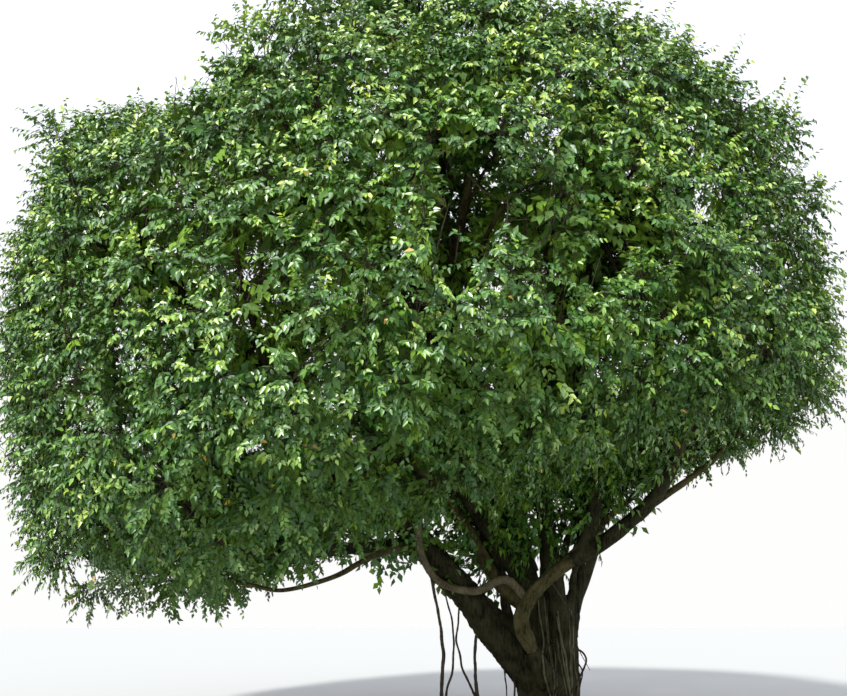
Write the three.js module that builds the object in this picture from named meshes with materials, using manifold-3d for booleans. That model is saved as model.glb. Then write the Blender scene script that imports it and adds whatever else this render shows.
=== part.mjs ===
// A weeping fig: a whole spreading tree, rooted in level ground.
// Millimetres, +Z up. The crown is seen from -Y, with +X to the right.
// The origin is the middle of the flat cut under the trunk, at ground level.
//
// The trunk is a fluted stump that forks low into thick stems. Every bough ends at a mass of
// foliage, and the masses together make a dense dome that is hollow inside, where only limbs are.
import * as THREE from "three";
import { mergeVertices } from "three/addons/utils/BufferGeometryUtils.js";
import Module from "manifold-3d";

const wasm = await Module();
wasm.setup();

const point = (x, y, z) => new THREE.Vector3(x, y, z);
const radians = THREE.MathUtils.degToRad;

function heading(azimuth, elevation) {
  const a = radians(azimuth);
  const e = radians(elevation);
  return point(Math.sin(a) * Math.cos(e), -Math.cos(a) * Math.cos(e), Math.sin(e));
}

// The crown's middle lies left of the foot, because the tree leans that way.
const crown = {
  middle: point(-1540, 0, 4300),
  halfWidth: 5000,
  halfDepth: 4350,
  rise: 4120, // from the middle to the top
  fall: 2520, // from the middle to the lower rim
  lowSide: heading(-50, 0), // the side where the rim is lowest
  tilt: 1270, // how much lower the rim is there, and higher on the far side
  frontLift: 1150, // how much higher the rim is at the front
  dip: heading(-46, 42), // where the crown sinks in, between its top and its left shoulder
  dipWidth: 14, // degrees
  dipDepth: 0.25, // as a share of the reach
  boxiness: 2.8, // 2 is an ellipsoid, and more is squarer at the shoulders
  swell: 1.03, // how far a mass stands out at its middle
  seam: 0.08, // how much it falls back at its edge
  overlap: 0.72, // a core reaches out by this share of the way to the next axis, before it is trimmed
  lowest: -52, // elevation below which the dome is open, for the limbs to pass
  inner: 0.74, // the masses' cores begin and end at these shares of the reach
  outer: 0.91,
  bump: 0.03, // unevenness of a core, as a share of the reach
};

// The masses lie in rings round the dome. Azimuth 0 faces the viewer and 90 is to the right.
const rings = [
  { name: "skirt", count: 7, first: 11, elevation: -25, climb: 9 },
  { name: "belt", count: 7, first: -14.7, elevation: 11, climb: 0 },
  { name: "shoulder", count: 6, first: 11, elevation: 44, climb: 0 },
  { name: "top", count: 1, first: 0, elevation: 87, climb: 0 },
];

// Openings in the front of the dome, through which the limbs show: tunnels that rise inwards.
const openings = [
  { mouth: point(-480, -3950, 4400), azimuth: 188, elevation: 23, radius: 430 },
  { mouth: point(-3050, -3300, 4650), azimuth: 168, elevation: 22, radius: 260 },
];
const openingLength = 4000;
const openingSides = 8;

const trunk = {
  height: 1180,
  waist: 290, // radius at knee height
  flare: 190, // added to the radius at the ground
  flareHeight: 200,
  shoulder: 0.72, // share of the height where the top starts to round over
  ribs: 7,
  ribTurn: 0.8,
  lobes: 3, // broader waves, laid over the ribs
  lobeShare: 0.6,
  lobeTurn: -1.1,
  ribDepth: 0.085,
  rounding: 0.8, // how much of the girth's square is lost at the top
  crowding: 1.25, // levels lie closer together near the ground
  lean: -110, // sideways shift of the stump's top
  sides: 28,
  levels: 7,
};

const foliage = {
  twigs: 7, // on each mass
  tries: 9, // for each leaf, before it is skipped
  leafLength: 620,
  leafWidth: 340,
  leafThickness: 36,
  leafWidest: 0.42, // share of the length at which a leaf is widest
  leafTurn: 50, // degrees between a side leaf and its twig
  leafHang: 0.8, // how strongly a leaf turns downwards
  leafSwing: 60, // degrees by which each further try may turn it
  leafDip: 0.05, // how much each further try leans it inwards
  leafRoom: [0.4, 1.03], // shares of the reach between which leaves and twigs stay
  twigRadii: [34, 16],
  twigTurn: 0.6, // radians by which a twig's bearing may differ from the spiral
  twigSpread: 0.8, // share of the mass's spread that the twigs fill
  twigReach: [0.95, 0.98], // where they end, as shares of the reach
  stemRadius: 42,
  droop: 140, // of a twig's end
  seamGap: 40, // between neighbouring masses
  limbGap: 60, // between foliage and a limb
  regrowths: 5, // tries of a mass with other seeds
};

const touchGap = 0.35; // between pieces that meet
const slack = 0.3; // slivers in the foliage smaller than this are smoothed away
const pinch = 4e-3; // corners that lie closer than this fall together in the written file
const weld = 1e-3; // corners that lie closer than this are one
const spotsOnLimb = 24; // points at which a leaf's distance from a limb is tried
const coreSeeds = 40; // first seed of the cores

const bark = { color: 0x4a3d2f, roughness: 0.92 };
const paleBark = { color: 0x85785c, roughness: 0.85 };
const leafGreen = { color: 0x2f5a1e, roughness: 0.45 };

// A repeatable random source, the same on every run.
function seeded(seed) {
  let state = seed * 2654435761;
  return () => {
    state = (state + 0x6d2b79f5) | 0;
    let t = Math.imul(state ^ (state >>> 15), 1 | state);
    t = (t + Math.imul(t ^ (t >>> 7), 61 | t)) ^ t;
    return ((t ^ (t >>> 14)) >>> 0) / 4294967296;
  };
}

// A geometry with its shared vertices merged.
function merged(geometry, tolerance) {
  const bare = new THREE.BufferGeometry();
  bare.setAttribute("position", geometry.getAttribute("position"));
  bare.setIndex(geometry.index);
  return mergeVertices(bare, tolerance);
}

// A closed geometry as a solid that can be joined and cut.
function solidOf(geometry) {
  const whole = merged(geometry, weld);
  const triVerts = new Uint32Array(whole.index.array);
  const vertProperties = new Float32Array(whole.getAttribute("position").array);
  return new wasm.Manifold(new wasm.Mesh({ numProp: 3, vertProperties, triVerts }));
}

function geometryOf(solid) {
  const { vertProperties, triVerts } = solid.getMesh();
  const geometry = new THREE.BufferGeometry();
  geometry.setAttribute("position", new THREE.BufferAttribute(new Float32Array(vertProperties), 3));
  geometry.setIndex(new THREE.BufferAttribute(new Uint32Array(triVerts), 1));
  geometry.computeVertexNormals();
  return geometry;
}

// A solid's largest body, with loose scraps dropped and any sealed hollow filled.
function largestBody(solid) {
  const bodies = solid.decompose();
  return bodies.reduce((a, b) => (b.volume() > a.volume() ? b : a));
}

// A tapering limb: a cylinder bent along a stretch of a curve.
function limbGeometry(curve, radiusAt, { sides, steps, from = 0, to = 1, grow = 0 }) {
  const reach = curve.getLength();
  const low = from - grow / reach;
  const high = to + grow / reach;
  const at = (t) => {
    const inside = THREE.MathUtils.clamp(t, 0, 1);
    const beyond = (t - inside) * reach;
    return curve.getPointAt(inside).addScaledVector(curve.getTangentAt(inside), beyond);
  };
  const stops = Array.from({ length: steps + 1 }, (_, i) => low + ((high - low) * i) / steps);
  const line = new THREE.CatmullRomCurve3(stops.map(at));
  const { normals, binormals } = line.computeFrenetFrames(steps, false);
  const geometry = new THREE.CylinderGeometry(1, 1, 1, sides, steps);
  const place = geometry.getAttribute("position");
  for (let i = 0; i < place.count; i++) {
    const step = Math.round((place.getY(i) + 0.5) * steps);
    const radius = radiusAt(THREE.MathUtils.clamp(stops[step], 0, 1)) + grow;
    const spot = at(stops[step])
      .addScaledVector(normals[step], place.getX(i) * radius)
      .addScaledVector(binormals[step], -place.getZ(i) * radius);
    place.setXYZ(i, spot.x, spot.y, spot.z);
  }
  return geometry;
}

const taper = (start, end) => (t) => THREE.MathUtils.lerp(start, end, Math.pow(t, 0.8));

// How far the dome reaches from its middle in a direction.
function crownReach(direction) {
  const flat = Math.hypot(direction.x / crown.halfWidth, direction.y / crown.halfDepth);
  const lift = crown.frontLift * Math.max(0, -direction.y);
  const tall = direction.z > 0 ? crown.rise : crown.fall + crown.tilt * direction.dot(crown.lowSide) - lift;
  const power = crown.boxiness;
  const full = Math.pow(Math.pow(flat, power) + Math.pow(Math.abs(direction.z) / tall, power), -1 / power);
  const fromDip = direction.angleTo(crown.dip) / radians(crown.dipWidth);
  return full * (1 - crown.dipDepth * Math.exp(-fromDip * fromDip));
}

const domePoint = (direction, distance) => crown.middle.clone().addScaledVector(direction, distance);

const masses = rings.flatMap((ring) =>
  Array.from({ length: ring.count }, (_, i) => {
    const azimuth = ring.first + (360 / ring.count) * i;
    const elevation = ring.elevation + ring.climb * Math.sin(radians(azimuth));
    return { name: `${ring.name}_${i + 1}`, axis: heading(azimuth, elevation) };
  }),
);
const massNamed = new Map(masses.map((mass) => [mass.name, mass]));
for (const mass of masses) {
  mass.others = masses.filter((other) => other !== mass);
  const nearest = Math.max(...mass.others.map((other) => other.axis.dot(mass.axis)));
  mass.halfAngle = Math.acos(nearest) * crown.overlap;
}

// The mass's own bulge: full at its axis, and drawn in towards its neighbours.
function massReach(mass, direction) {
  const angle = direction.angleTo(mass.axis) / mass.halfAngle;
  return crownReach(direction) * (crown.swell - crown.seam * Math.min(1.2, angle * angle));
}

function inOpening({ mouth, azimuth, elevation, radius }, spot) {
  const along = heading(azimuth, elevation);
  const offset = spot.clone().sub(mouth);
  return Math.abs(offset.dot(along)) < openingLength / 2 && offset.cross(along).length() < radius;
}

// Whether a point keeps to a mass's own space.
function keepsTo(mass, spot, inner, outer) {
  const offset = spot.clone().sub(crown.middle);
  const distance = offset.length();
  const direction = offset.clone().divideScalar(distance);
  if (direction.z < Math.sin(radians(crown.lowest))) return false;
  if (distance < crownReach(direction) * inner) return false;
  if (distance > massReach(mass, direction) * outer) return false;
  if (openings.some((opening) => inOpening(opening, spot))) return false;
  return mass.others.every((other) => {
    const across = mass.axis.clone().sub(other.axis);
    return offset.dot(across) / across.length() > foliage.seamGap / 2;
  });
}

const group = new THREE.Group();
const limbs = new Map();

function show(name, solid, finish) {
  const rounded = solidOf(geometryOf(largestBody(solid)));
  const mesh = new THREE.Mesh(
    geometryOf(largestBody(rounded)),
    new THREE.MeshStandardMaterial({ ...finish, metalness: 0 }),
  );
  mesh.name = name;
  group.add(mesh);
}

// A solid cut back by every limb that it would run into, leaving a small gap.
function clearOf(solid, cutters) {
  return cutters.reduce((rest, cutter) => {
    const a = rest.boundingBox();
    const b = cutter.boundingBox();
    const apart = a.min.some((low, k) => low > b.max[k] || a.max[k] < b.min[k]);
    return apart ? rest : rest.subtract(cutter);
  }, solid);
}

function addLimb(name, curve, radii, options, finish = bark) {
  const radiusAt = taper(...radii);
  const shape = (grow) => solidOf(limbGeometry(curve, radiusAt, { ...options, grow }));
  const others = [...limbs.values()].map((limb) => limb.grown);
  show(name, clearOf(shape(0), others), finish);
  limbs.set(name, {
    curve,
    radiusAt,
    grown: shape(touchGap),
    cleared: shape(foliage.limbGap),
    spots: curve.getSpacedPoints(spotsOnLimb),
  });
}

// The stump: a ribbed cylinder that flares at the ground, leans, and rounds over at the fork.
function stumpGeometry(grow) {
  const geometry = new THREE.CylinderGeometry(1, 1, 1, trunk.sides, trunk.levels);
  geometry.rotateX(Math.PI / 2);
  const place = geometry.getAttribute("position");
  for (let i = 0; i < place.count; i++) {
    const share = Math.pow(place.getZ(i) + 0.5, trunk.crowding);
    const height = share * trunk.height;
    const angle = Math.atan2(place.getY(i), place.getX(i));
    const flare = Math.exp(-height / trunk.flareHeight);
    const rib = Math.cos(trunk.ribs * angle + trunk.ribTurn);
    const lobe = trunk.lobeShare * Math.cos(trunk.lobes * angle + trunk.lobeTurn);
    const past = Math.max(0, share - trunk.shoulder) / (1 - trunk.shoulder);
    const girth = (trunk.waist + trunk.flare * flare) * Math.sqrt(1 - trunk.rounding * past * past);
    const radius = girth * (1 + trunk.ribDepth * (rib + lobe) * (1 + flare)) + grow;
    const onRim = Math.hypot(place.getX(i), place.getY(i)) * radius;
    const top = share === 1 ? grow : 0;
    const x = trunk.lean * share + Math.cos(angle) * onRim;
    place.setXYZ(i, x, Math.sin(angle) * onRim, height + top);
  }
  return geometry;
}

// Where a bough ends and its mass's stem begins, by default on the mass's axis.
function anchorOf(name, { azimuth, elevation, share = 0.62 } = {}) {
  const direction = azimuth === undefined ? massNamed.get(name).axis : heading(azimuth, elevation);
  return domePoint(direction, crownReach(direction) * share);
}

// A limb's line: it leaves along one heading and arrives along another.
function sweep(start, leaving, end, arriving, bend = 0.38) {
  const reach = start.distanceTo(end) * bend;
  return new THREE.CubicBezierCurve3(
    start,
    start.clone().addScaledVector(leaving, reach),
    end.clone().addScaledVector(arriving, -reach),
    end,
  );
}

// The thick stems that the stump forks into. The trunk keeps each one's foot, up to its cut.
const stems = [
  {
    name: "left_bough",
    mass: "belt_7",
    curve: sweep(point(-30, -60, 380), heading(-80, 52), anchorOf("belt_7"), heading(-70, 40), 0.3),
    radii: [215, 62],
    cut: 0.14,
  },
  {
    name: "leader",
    mass: "top_1",
    curve: sweep(point(-20, 60, 420), heading(-85, 84), anchorOf("top_1"), heading(50, 80), 0.42),
    radii: [205, 74],
    cut: 0.12,
  },
  {
    name: "right_bough",
    mass: "skirt_2",
    curve: new THREE.CatmullRomCurve3([
      point(-60, -210, 560),
      point(-300, -400, 1000),
      point(-400, -450, 1300),
      point(-130, -430, 1690),
      point(620, -510, 2170),
      point(1180, -700, 2520),
      anchorOf("skirt_2", { azimuth: 66, elevation: -25, share: 0.88 }),
    ]),
    radii: [118, 66],
    cut: 0.12,
  },
  {
    name: "right_stem",
    mass: "belt_3",
    curve: new THREE.CatmullRomCurve3([
      point(160, 20, 400),
      point(190, 40, 1250),
      point(430, 60, 1900),
      point(820, 90, 3000),
      anchorOf("belt_3"),
    ]),
    radii: [118, 56],
    cut: 0.2,
  },
  {
    name: "middle_stem",
    mass: "shoulder_2",
    curve: new THREE.CatmullRomCurve3([
      point(70, -90, 420),
      point(60, -130, 1300),
      point(-60, -160, 2500),
      point(30, -260, 4300),
      anchorOf("shoulder_2"),
    ]),
    radii: [128, 52],
    cut: 0.15,
  },
  {
    name: "back_bough",
    mass: "belt_5",
    curve: sweep(point(20, 110, 420), heading(165, 66), anchorOf("belt_5"), heading(180, 40), 0.36),
    radii: [170, 60],
    cut: 0.14,
  },
];

// Boughs that leave another limb: where, towards which mass, and how they bend.
const branches = [
  { from: "left_bough", at: 0.36, to: "skirt_7", tip: { azimuth: -44, elevation: -44, share: 0.9 },
    leaving: [-100, 2], arriving: [-60, 6], radii: [86, 44] },
  { from: "left_bough", at: 0.46, to: "skirt_6", leaving: [-110, 20], arriving: [-95, 0],
    radii: [78, 44] },
  { from: "left_bough", at: 0.56, to: "belt_6", leaving: [-140, 30], arriving: [-125, 25],
    radii: [76, 44] },
  { from: "left_bough", at: 0.64, to: "shoulder_5", leaving: [-100, 62], arriving: [-115, 55],
    radii: [80, 46] },
  { from: "leader", at: 0.17, to: "belt_1", leaving: [-60, 52], arriving: [-10, 30],
    radii: [104, 50] },
  { from: "leader", at: 0.27, to: "shoulder_6", leaving: [-70, 55], arriving: [-45, 55],
    radii: [100, 48] },
  { from: "leader", at: 0.62, to: "shoulder_1", leaving: [60, 45], arriving: [40, 50],
    radii: [76, 46] },
  { from: "leader", at: 0.56, to: "shoulder_4", leaving: [-170, 50], arriving: [-165, 50],
    radii: [78, 46] },
  { from: "right_bough", at: 0.52, to: "belt_2", leaving: [70, 60], arriving: [30, 50],
    radii: [78, 46] },
  { from: "right_stem", at: 0.56, to: "skirt_3", tip: { azimuth: 108, elevation: -18, share: 0.78 },
    leaving: [100, 30], arriving: [105, 20], radii: [66, 42] },
  { from: "back_bough", at: 0.3, to: "shoulder_3", leaving: [120, 74], arriving: [125, 60],
    radii: [92, 46] },
  { from: "back_bough", at: 0.42, to: "belt_4", leaving: [130, 50], arriving: [130, 30],
    radii: [80, 46] },
  { from: "back_bough", at: 0.36, to: "skirt_4", leaving: [160, 25], arriving: [160, 5],
    radii: [76, 42] },
  { from: "back_bough", at: 0.5, to: "skirt_5", leaving: [-150, 20], arriving: [-145, 0],
    radii: [74, 42] },
];

const stemGrid = { sides: 8, steps: 8 };
const branchGrid = { sides: 6, steps: 7 };

function addTrunk() {
  const shape = (grow) =>
    wasm.Manifold.union([
      solidOf(stumpGeometry(grow)),
      ...stems.map(({ curve, radii, cut }) =>
        solidOf(limbGeometry(curve, taper(...radii), { ...stemGrid, steps: 3, to: cut, grow })),
      ),
    ]);
  limbs.set("trunk", { grown: shape(touchGap), cleared: shape(foliage.limbGap) });
  show("trunk", shape(0), bark);
}

function addBoughs() {
  for (const { name, mass, curve, radii, cut } of stems) {
    addLimb(name, curve, radii, { ...stemGrid, from: cut });
    massNamed.get(mass).limb = limbs.get(name);
  }
  for (const { from, at, to, tip, leaving, arriving, radii } of branches) {
    const start = limbs.get(from).curve.getPointAt(at);
    const curve = sweep(start, heading(...leaving), anchorOf(to, tip), heading(...arriving));
    addLimb(`bough_to_${to}`, curve, radii, branchGrid);
    massNamed.get(to).limb = limbs.get(`bough_to_${to}`);
  }
}

// The pale arm that leaves the front of the right bough, dips left, and carries the front skirt.
function addPaleArm() {
  const start = limbs.get("right_bough").curve.getPointAt(0.3);
  const curve = new THREE.CatmullRomCurve3([
    start,
    point(-560, -470, 1700),
    point(-900, -480, 1580),
    point(-1300, -520, 1690),
    point(-1500, -720, 2060),
    anchorOf("skirt_1", { azimuth: 6, elevation: -38, share: 0.66 }),
  ]);
  addLimb("pale_arm", curve, [58, 36], { sides: 6, steps: 12 }, paleBark);
  massNamed.get("skirt_1").limb = limbs.get("pale_arm");
}

// Aerial roots: thin cords that hang from the limbs, and mostly reach the ground.
const aerialRoots = [
  { from: "pale_arm", at: 0.42, foot: point(-1210, -500, 0), sway: 60, radii: [24, 30] },
  { from: "left_bough", at: 0.2, foot: point(-870, -130, 0), sway: -40, radii: [24, 32] },
  { from: "left_bough", at: 0.15, foot: point(-520, -90, 330), sway: 45, radii: [20, 10] },
  { from: "right_bough", at: 0.4, foot: point(330, -380, 760), sway: 50, radii: [16, 9] },
  { from: "back_bough", at: 0.3, foot: point(150, 900, 0), sway: 50, radii: [22, 28] },
];

function addAerialRoots() {
  aerialRoots.forEach(({ from, at, foot, sway, radii }, i) => {
    const start = limbs.get(from).curve.getPointAt(at);
    const below = foot.z > 0 ? 0 : 60;
    const curve = new THREE.CatmullRomCurve3([
      start,
      start.clone().lerp(foot, 0.4).add(point(sway, 0, 0)),
      start.clone().lerp(foot, 0.8).add(point(-sway * 0.4, 0, 0)),
      foot.clone().sub(point(0, 0, below)),
    ]);
    const shape = solidOf(limbGeometry(curve, taper(...radii), { sides: 5, steps: 6 }));
    const others = [...limbs.values()].map((limb) => limb.grown);
    const standing = clearOf(shape, others).trimByPlane([0, 0, 1], 0);
    show(`aerial_root_${i + 1}`, standing, paleBark);
  });
}

// Two directions across a mass's axis.
function acrossOf(axis) {
  const level = Math.abs(axis.z) > 0.95 ? point(1, 0, 0) : point(0, 0, 1);
  const first = level.clone().cross(axis).normalize();
  return [first, axis.clone().cross(first)];
}

// The direction at an angle from an axis, on a bearing round it.
function offAxis(axis, bearing, angle) {
  const [first, second] = acrossOf(axis);
  const side = first.multiplyScalar(Math.cos(bearing)).addScaledVector(second, Math.sin(bearing));
  return axis.clone().multiplyScalar(Math.cos(angle)).addScaledVector(side, Math.sin(angle));
}

const middleShare = (crown.inner + crown.outer) / 2;
const goldenAngle = Math.PI * (3 - Math.sqrt(5));

// How far the mass's space reaches round the dome, on a bearing from its axis.
function spread(mass, bearing) {
  const step = radians(1.5);
  let angle = 0;
  while (angle < mass.halfAngle * 1.2) {
    const direction = offAxis(mass.axis, bearing, angle + step);
    if (!keepsTo(mass, domePoint(direction, massReach(mass, direction) * crown.outer), 0, 1)) break;
    angle += step;
  }
  return angle;
}

// A squared sphere, spread out over the mass's part of the dome and a little beyond.
function coreGeometry(mass) {
  const geometry = merged(new THREE.IcosahedronGeometry(1, 1), weld);
  const place = geometry.getAttribute("position");
  const random = seeded(masses.indexOf(mass) + coreSeeds);
  for (let i = 0; i < place.count; i++) {
    const across = Math.hypot(place.getX(i), place.getY(i));
    const square = 1 / Math.pow(across ** 4 + place.getZ(i) ** 4, 0.25);
    const bearing = Math.atan2(place.getY(i), place.getX(i));
    const direction = offAxis(mass.axis, bearing, mass.halfAngle * across * square);
    const share = middleShare + (place.getZ(i) * square * (crown.outer - crown.inner)) / 2;
    const bump = 1 - crown.bump * random();
    const spot = domePoint(direction, massReach(mass, direction) * share * bump);
    place.setXYZ(i, spot.x, spot.y, spot.z);
  }
  return geometry;
}

function openingSolid({ mouth, azimuth, elevation, radius }) {
  const geometry = new THREE.CylinderGeometry(radius, radius, openingLength, openingSides);
  const turn = new THREE.Quaternion();
  turn.setFromUnitVectors(point(0, 1, 0), heading(azimuth, elevation));
  return solidOf(geometry.applyQuaternion(turn).translate(mouth.x, mouth.y, mouth.z));
}

// The dense core of a mass: kept to its own space, and clear of openings and limbs.
function coreOf(mass) {
  const cutters = [...openings.map(openingSolid), ...[...limbs.values()].map((limb) => limb.cleared)];
  const kept = mass.others.reduce((rest, other) => {
    const across = mass.axis.clone().sub(other.axis).normalize();
    return rest.trimByPlane(across.toArray(), across.dot(crown.middle) + foliage.seamGap / 2);
  }, solidOf(coreGeometry(mass)));
  return largestBody(clearOf(kept, cutters));
}

// One leaf, standing for a spray: a flat spindle of eight faces from its root to its tip.
function leafGeometry(root, along, facing) {
  const side = along.clone().cross(facing).normalize();
  const face = side.clone().cross(along).normalize();
  const geometry = merged(new THREE.OctahedronGeometry(1, 0), weld);
  const place = geometry.getAttribute("position");
  for (let i = 0; i < place.count; i++) {
    const end = place.getZ(i);
    const length = foliage.leafLength * (end > 0.5 ? 1 : end < -0.5 ? 0 : foliage.leafWidest);
    const spot = root
      .clone()
      .addScaledVector(along, length)
      .addScaledVector(side, (place.getX(i) * foliage.leafWidth) / 2)
      .addScaledVector(face, (place.getY(i) * foliage.leafThickness) / 2);
    place.setXYZ(i, spot.x, spot.y, spot.z);
  }
  return geometry;
}

function touchesLimb(spot) {
  return [...limbs.values()].some((limb) => {
    if (!limb.spots) return false;
    const nearest = Math.min(...limb.spots.map((other) => other.distanceTo(spot)));
    const half = limb.curve.getLength() / spotsOnLimb / 2;
    return nearest < Math.hypot(limb.radiusAt(0) + foliage.limbGap, half);
  });
}

function fitsMass(mass, geometry) {
  const place = geometry.getAttribute("position");
  for (let i = 0; i < place.count; i++) {
    const spot = point().fromBufferAttribute(place, i);
    if (!keepsTo(mass, spot, ...foliage.leafRoom) || touchesLimb(spot)) return false;
  }
  return true;
}

// A twig from the core's middle that comes out and hangs a little.
function twigCurve(mass, index, random) {
  const bearing = index * goldenAngle + foliage.twigTurn * random();
  const share = Math.sqrt((index + 0.5) / foliage.twigs) * foliage.twigSpread;
  const direction = offAxis(mass.axis, bearing, spread(mass, bearing) * share);
  const reach = massReach(mass, direction);
  const end = reach * THREE.MathUtils.lerp(...foliage.twigReach, random());
  return new THREE.QuadraticBezierCurve3(
    domePoint(mass.axis, crownReach(mass.axis) * middleShare),
    domePoint(direction, reach * crown.outer),
    domePoint(direction, end).add(point(0, 0, -foliage.droop)),
  );
}

// A leaf at the twig's end and one on each side, turned until they keep to the mass's space.
function twigLeaves(mass, curve, random) {
  const places = [
    { at: 0.97, turn: 0 },
    { at: 0.9, turn: foliage.leafTurn },
    { at: 0.9, turn: -foliage.leafTurn },
  ];
  const leaves = [];
  for (const { at, turn } of places) {
    const root = curve.getPointAt(at);
    const outward = root.clone().sub(crown.middle).normalize();
    const flat = (vector) => vector.addScaledVector(outward, -vector.dot(outward));
    for (let attempt = 0; attempt < foliage.tries; attempt++) {
      const swing = radians(turn + foliage.leafSwing * attempt * (random() - 0.5));
      const along = flat(curve.getTangentAt(at))
        .addScaledVector(flat(point(0, 0, -1)), foliage.leafHang)
        .normalize()
        .applyAxisAngle(outward, swing)
        .addScaledVector(outward, foliage.leafDip * (1 - attempt))
        .normalize();
      const leaf = leafGeometry(root, along, outward);
      if (fitsMass(mass, leaf)) {
        leaves.push(solidOf(leaf));
        break;
      }
    }
  }
  return leaves;
}

// The mass's stem: it carries on from its bough's tip to the middle of the core.
function stemCurve(mass) {
  const { curve } = mass.limb;
  const along = curve.getTangentAt(1);
  const end = domePoint(mass.axis, crownReach(mass.axis) * middleShare);
  const start = curve.getPointAt(1).addScaledVector(along, -foliage.stemRadius);
  return sweep(start, along, end, end.clone().sub(start).normalize(), 0.3);
}

// Whether two corners of a solid fall together when it is rounded.
function pinched(solid) {
  const geometry = geometryOf(solid);
  const count = geometry.getAttribute("position").count;
  return merged(geometry, pinch).getAttribute("position").count < count;
}

function growMass(mass, seed) {
  const random = seeded(seed);
  const stem = limbGeometry(stemCurve(mass), () => foliage.stemRadius, { sides: 5, steps: 4 });
  const pieces = [coreOf(mass), solidOf(stem)];
  for (let i = 0; i < foliage.twigs; i++) {
    const curve = twigCurve(mass, i, random);
    const twig = limbGeometry(curve, taper(...foliage.twigRadii), { sides: 3, steps: 3 });
    if (!fitsMass(mass, twig)) continue;
    pieces.push(solidOf(twig), ...twigLeaves(mass, curve, random));
  }
  return largestBody(wasm.Manifold.union(pieces).subtract(mass.limb.grown).simplify(slack));
}

// Masses whose twigs and leaves lie better when they are grown from a later seed.
const laterSeeds = {
  belt_5: 5,
  shoulder_3: 2,
  shoulder_4: 1,
  skirt_1: 5,
  skirt_2: 7,
  skirt_4: 2,
  skirt_5: 6,
};

// A mass whose fused mesh is pinched is grown again from the next seed.
function addMass(mass, index) {
  const first = laterSeeds[mass.name] ?? 0;
  let solid;
  for (let again = first; again <= first + foliage.regrowths; again++) {
    solid = growMass(mass, index + again * masses.length);
    if (!pinched(solid)) break;
  }
  show(`foliage_${mass.name}`, solid, leafGreen);
}

addTrunk();
addBoughs();
addPaleArm();
addAerialRoots();
masses.forEach(addMass);

export default group;
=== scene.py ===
import math

import bpy
import numpy as np
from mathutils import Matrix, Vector, noise
from mathutils.bvhtree import BVHTree


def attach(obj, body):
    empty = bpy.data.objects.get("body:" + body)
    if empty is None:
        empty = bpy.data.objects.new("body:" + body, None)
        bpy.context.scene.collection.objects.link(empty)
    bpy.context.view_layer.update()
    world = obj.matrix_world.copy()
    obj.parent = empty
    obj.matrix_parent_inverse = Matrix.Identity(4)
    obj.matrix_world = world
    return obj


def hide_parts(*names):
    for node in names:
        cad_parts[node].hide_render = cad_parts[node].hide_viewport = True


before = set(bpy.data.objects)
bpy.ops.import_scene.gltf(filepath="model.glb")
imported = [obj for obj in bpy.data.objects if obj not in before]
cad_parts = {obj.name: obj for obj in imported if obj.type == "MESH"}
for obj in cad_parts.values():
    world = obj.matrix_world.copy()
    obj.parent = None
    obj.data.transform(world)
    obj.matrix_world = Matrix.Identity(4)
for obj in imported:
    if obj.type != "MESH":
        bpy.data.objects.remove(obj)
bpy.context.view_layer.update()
scene = bpy.context.scene

# A weeping fig, in metres. The foot stands on the origin, and the crown is seen from -Y.

# Small helpers

tiny = 1e-9  # keeps a division off zero
shortest = 1e-6  # a spline's steps are no shorter
steep = 0.9  # a direction that points up more than this is crossed with x, and others with z
taperPower = 0.8
noiseOffset = np.array((7.13, 3.7, 5.9))  # sets the noise of one seed apart from the next


def point(*numbers):
    return np.array(numbers, float)


def unit(vectors):
    return vectors / np.maximum(np.linalg.norm(vectors, axis=-1, keepdims=True), tiny)


def heading(azimuth, elevation):
    a, e = math.radians(azimuth), math.radians(elevation)
    return point(math.sin(a) * math.cos(e), -math.cos(a) * math.cos(e), math.sin(e))


def dot(a, b):
    return (a * b).sum(axis=-1, keepdims=True)


def mix(a, b, share):
    return a + (b - a) * share


def vary(random, least, more, count=None):
    # a number between the least and that much more, or as many as asked
    return least + more * random.random(count)


def repeated(values, count):
    return np.repeat(values[None], count, axis=0)


def arcLengths(points):
    steps = np.linalg.norm(np.diff(points, axis=0), axis=1)
    return np.concatenate([[0], np.cumsum(steps)])


def evenly(points, count):
    lengths = arcLengths(points)
    wanted = np.linspace(0, lengths[-1], count)
    return np.stack([np.interp(wanted, lengths, points[:, k]) for k in range(3)], axis=1)


def bezier(corners, count):
    t = np.linspace(0, 1, count)[:, None]
    a, b, c, d = corners
    return a * (1 - t) ** 3 + 3 * b * t * (1 - t) ** 2 + 3 * c * t * t * (1 - t) + d * t**3


def smoothLine(corners, count, steps=16):
    # a centripetal spline through all of the corners
    corners = np.array(corners, float)
    first = corners[0] * 2 - corners[1]
    last = corners[-1] * 2 - corners[-2]
    path = np.vstack([first, corners, last])
    out = []
    for a, b, c, d in zip(path, path[1:], path[2:], path[3:]):
        k = [max(np.linalg.norm(q - p), shortest) ** 0.5 for p, q in ((a, b), (b, c), (c, d))]
        t0, t1, t2, t3 = np.cumsum([0] + k)
        t = np.linspace(t1, t2, steps, endpoint=False)[:, None]
        a1 = (t1 - t) / (t1 - t0) * a + (t - t0) / (t1 - t0) * b
        a2 = (t2 - t) / (t2 - t1) * b + (t - t1) / (t2 - t1) * c
        a3 = (t3 - t) / (t3 - t2) * c + (t - t2) / (t3 - t2) * d
        b1 = (t2 - t) / (t2 - t0) * a1 + (t - t0) / (t2 - t0) * a2
        b2 = (t3 - t) / (t3 - t1) * a2 + (t - t1) / (t3 - t1) * a3
        out.append((t2 - t) / (t2 - t1) * b1 + (t - t1) / (t2 - t1) * b2)
    return evenly(np.vstack(out + [corners[-1:]]), count)


def taper(start, end, count):
    return mix(start, end, np.linspace(0, 1, count) ** taperPower)


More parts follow.
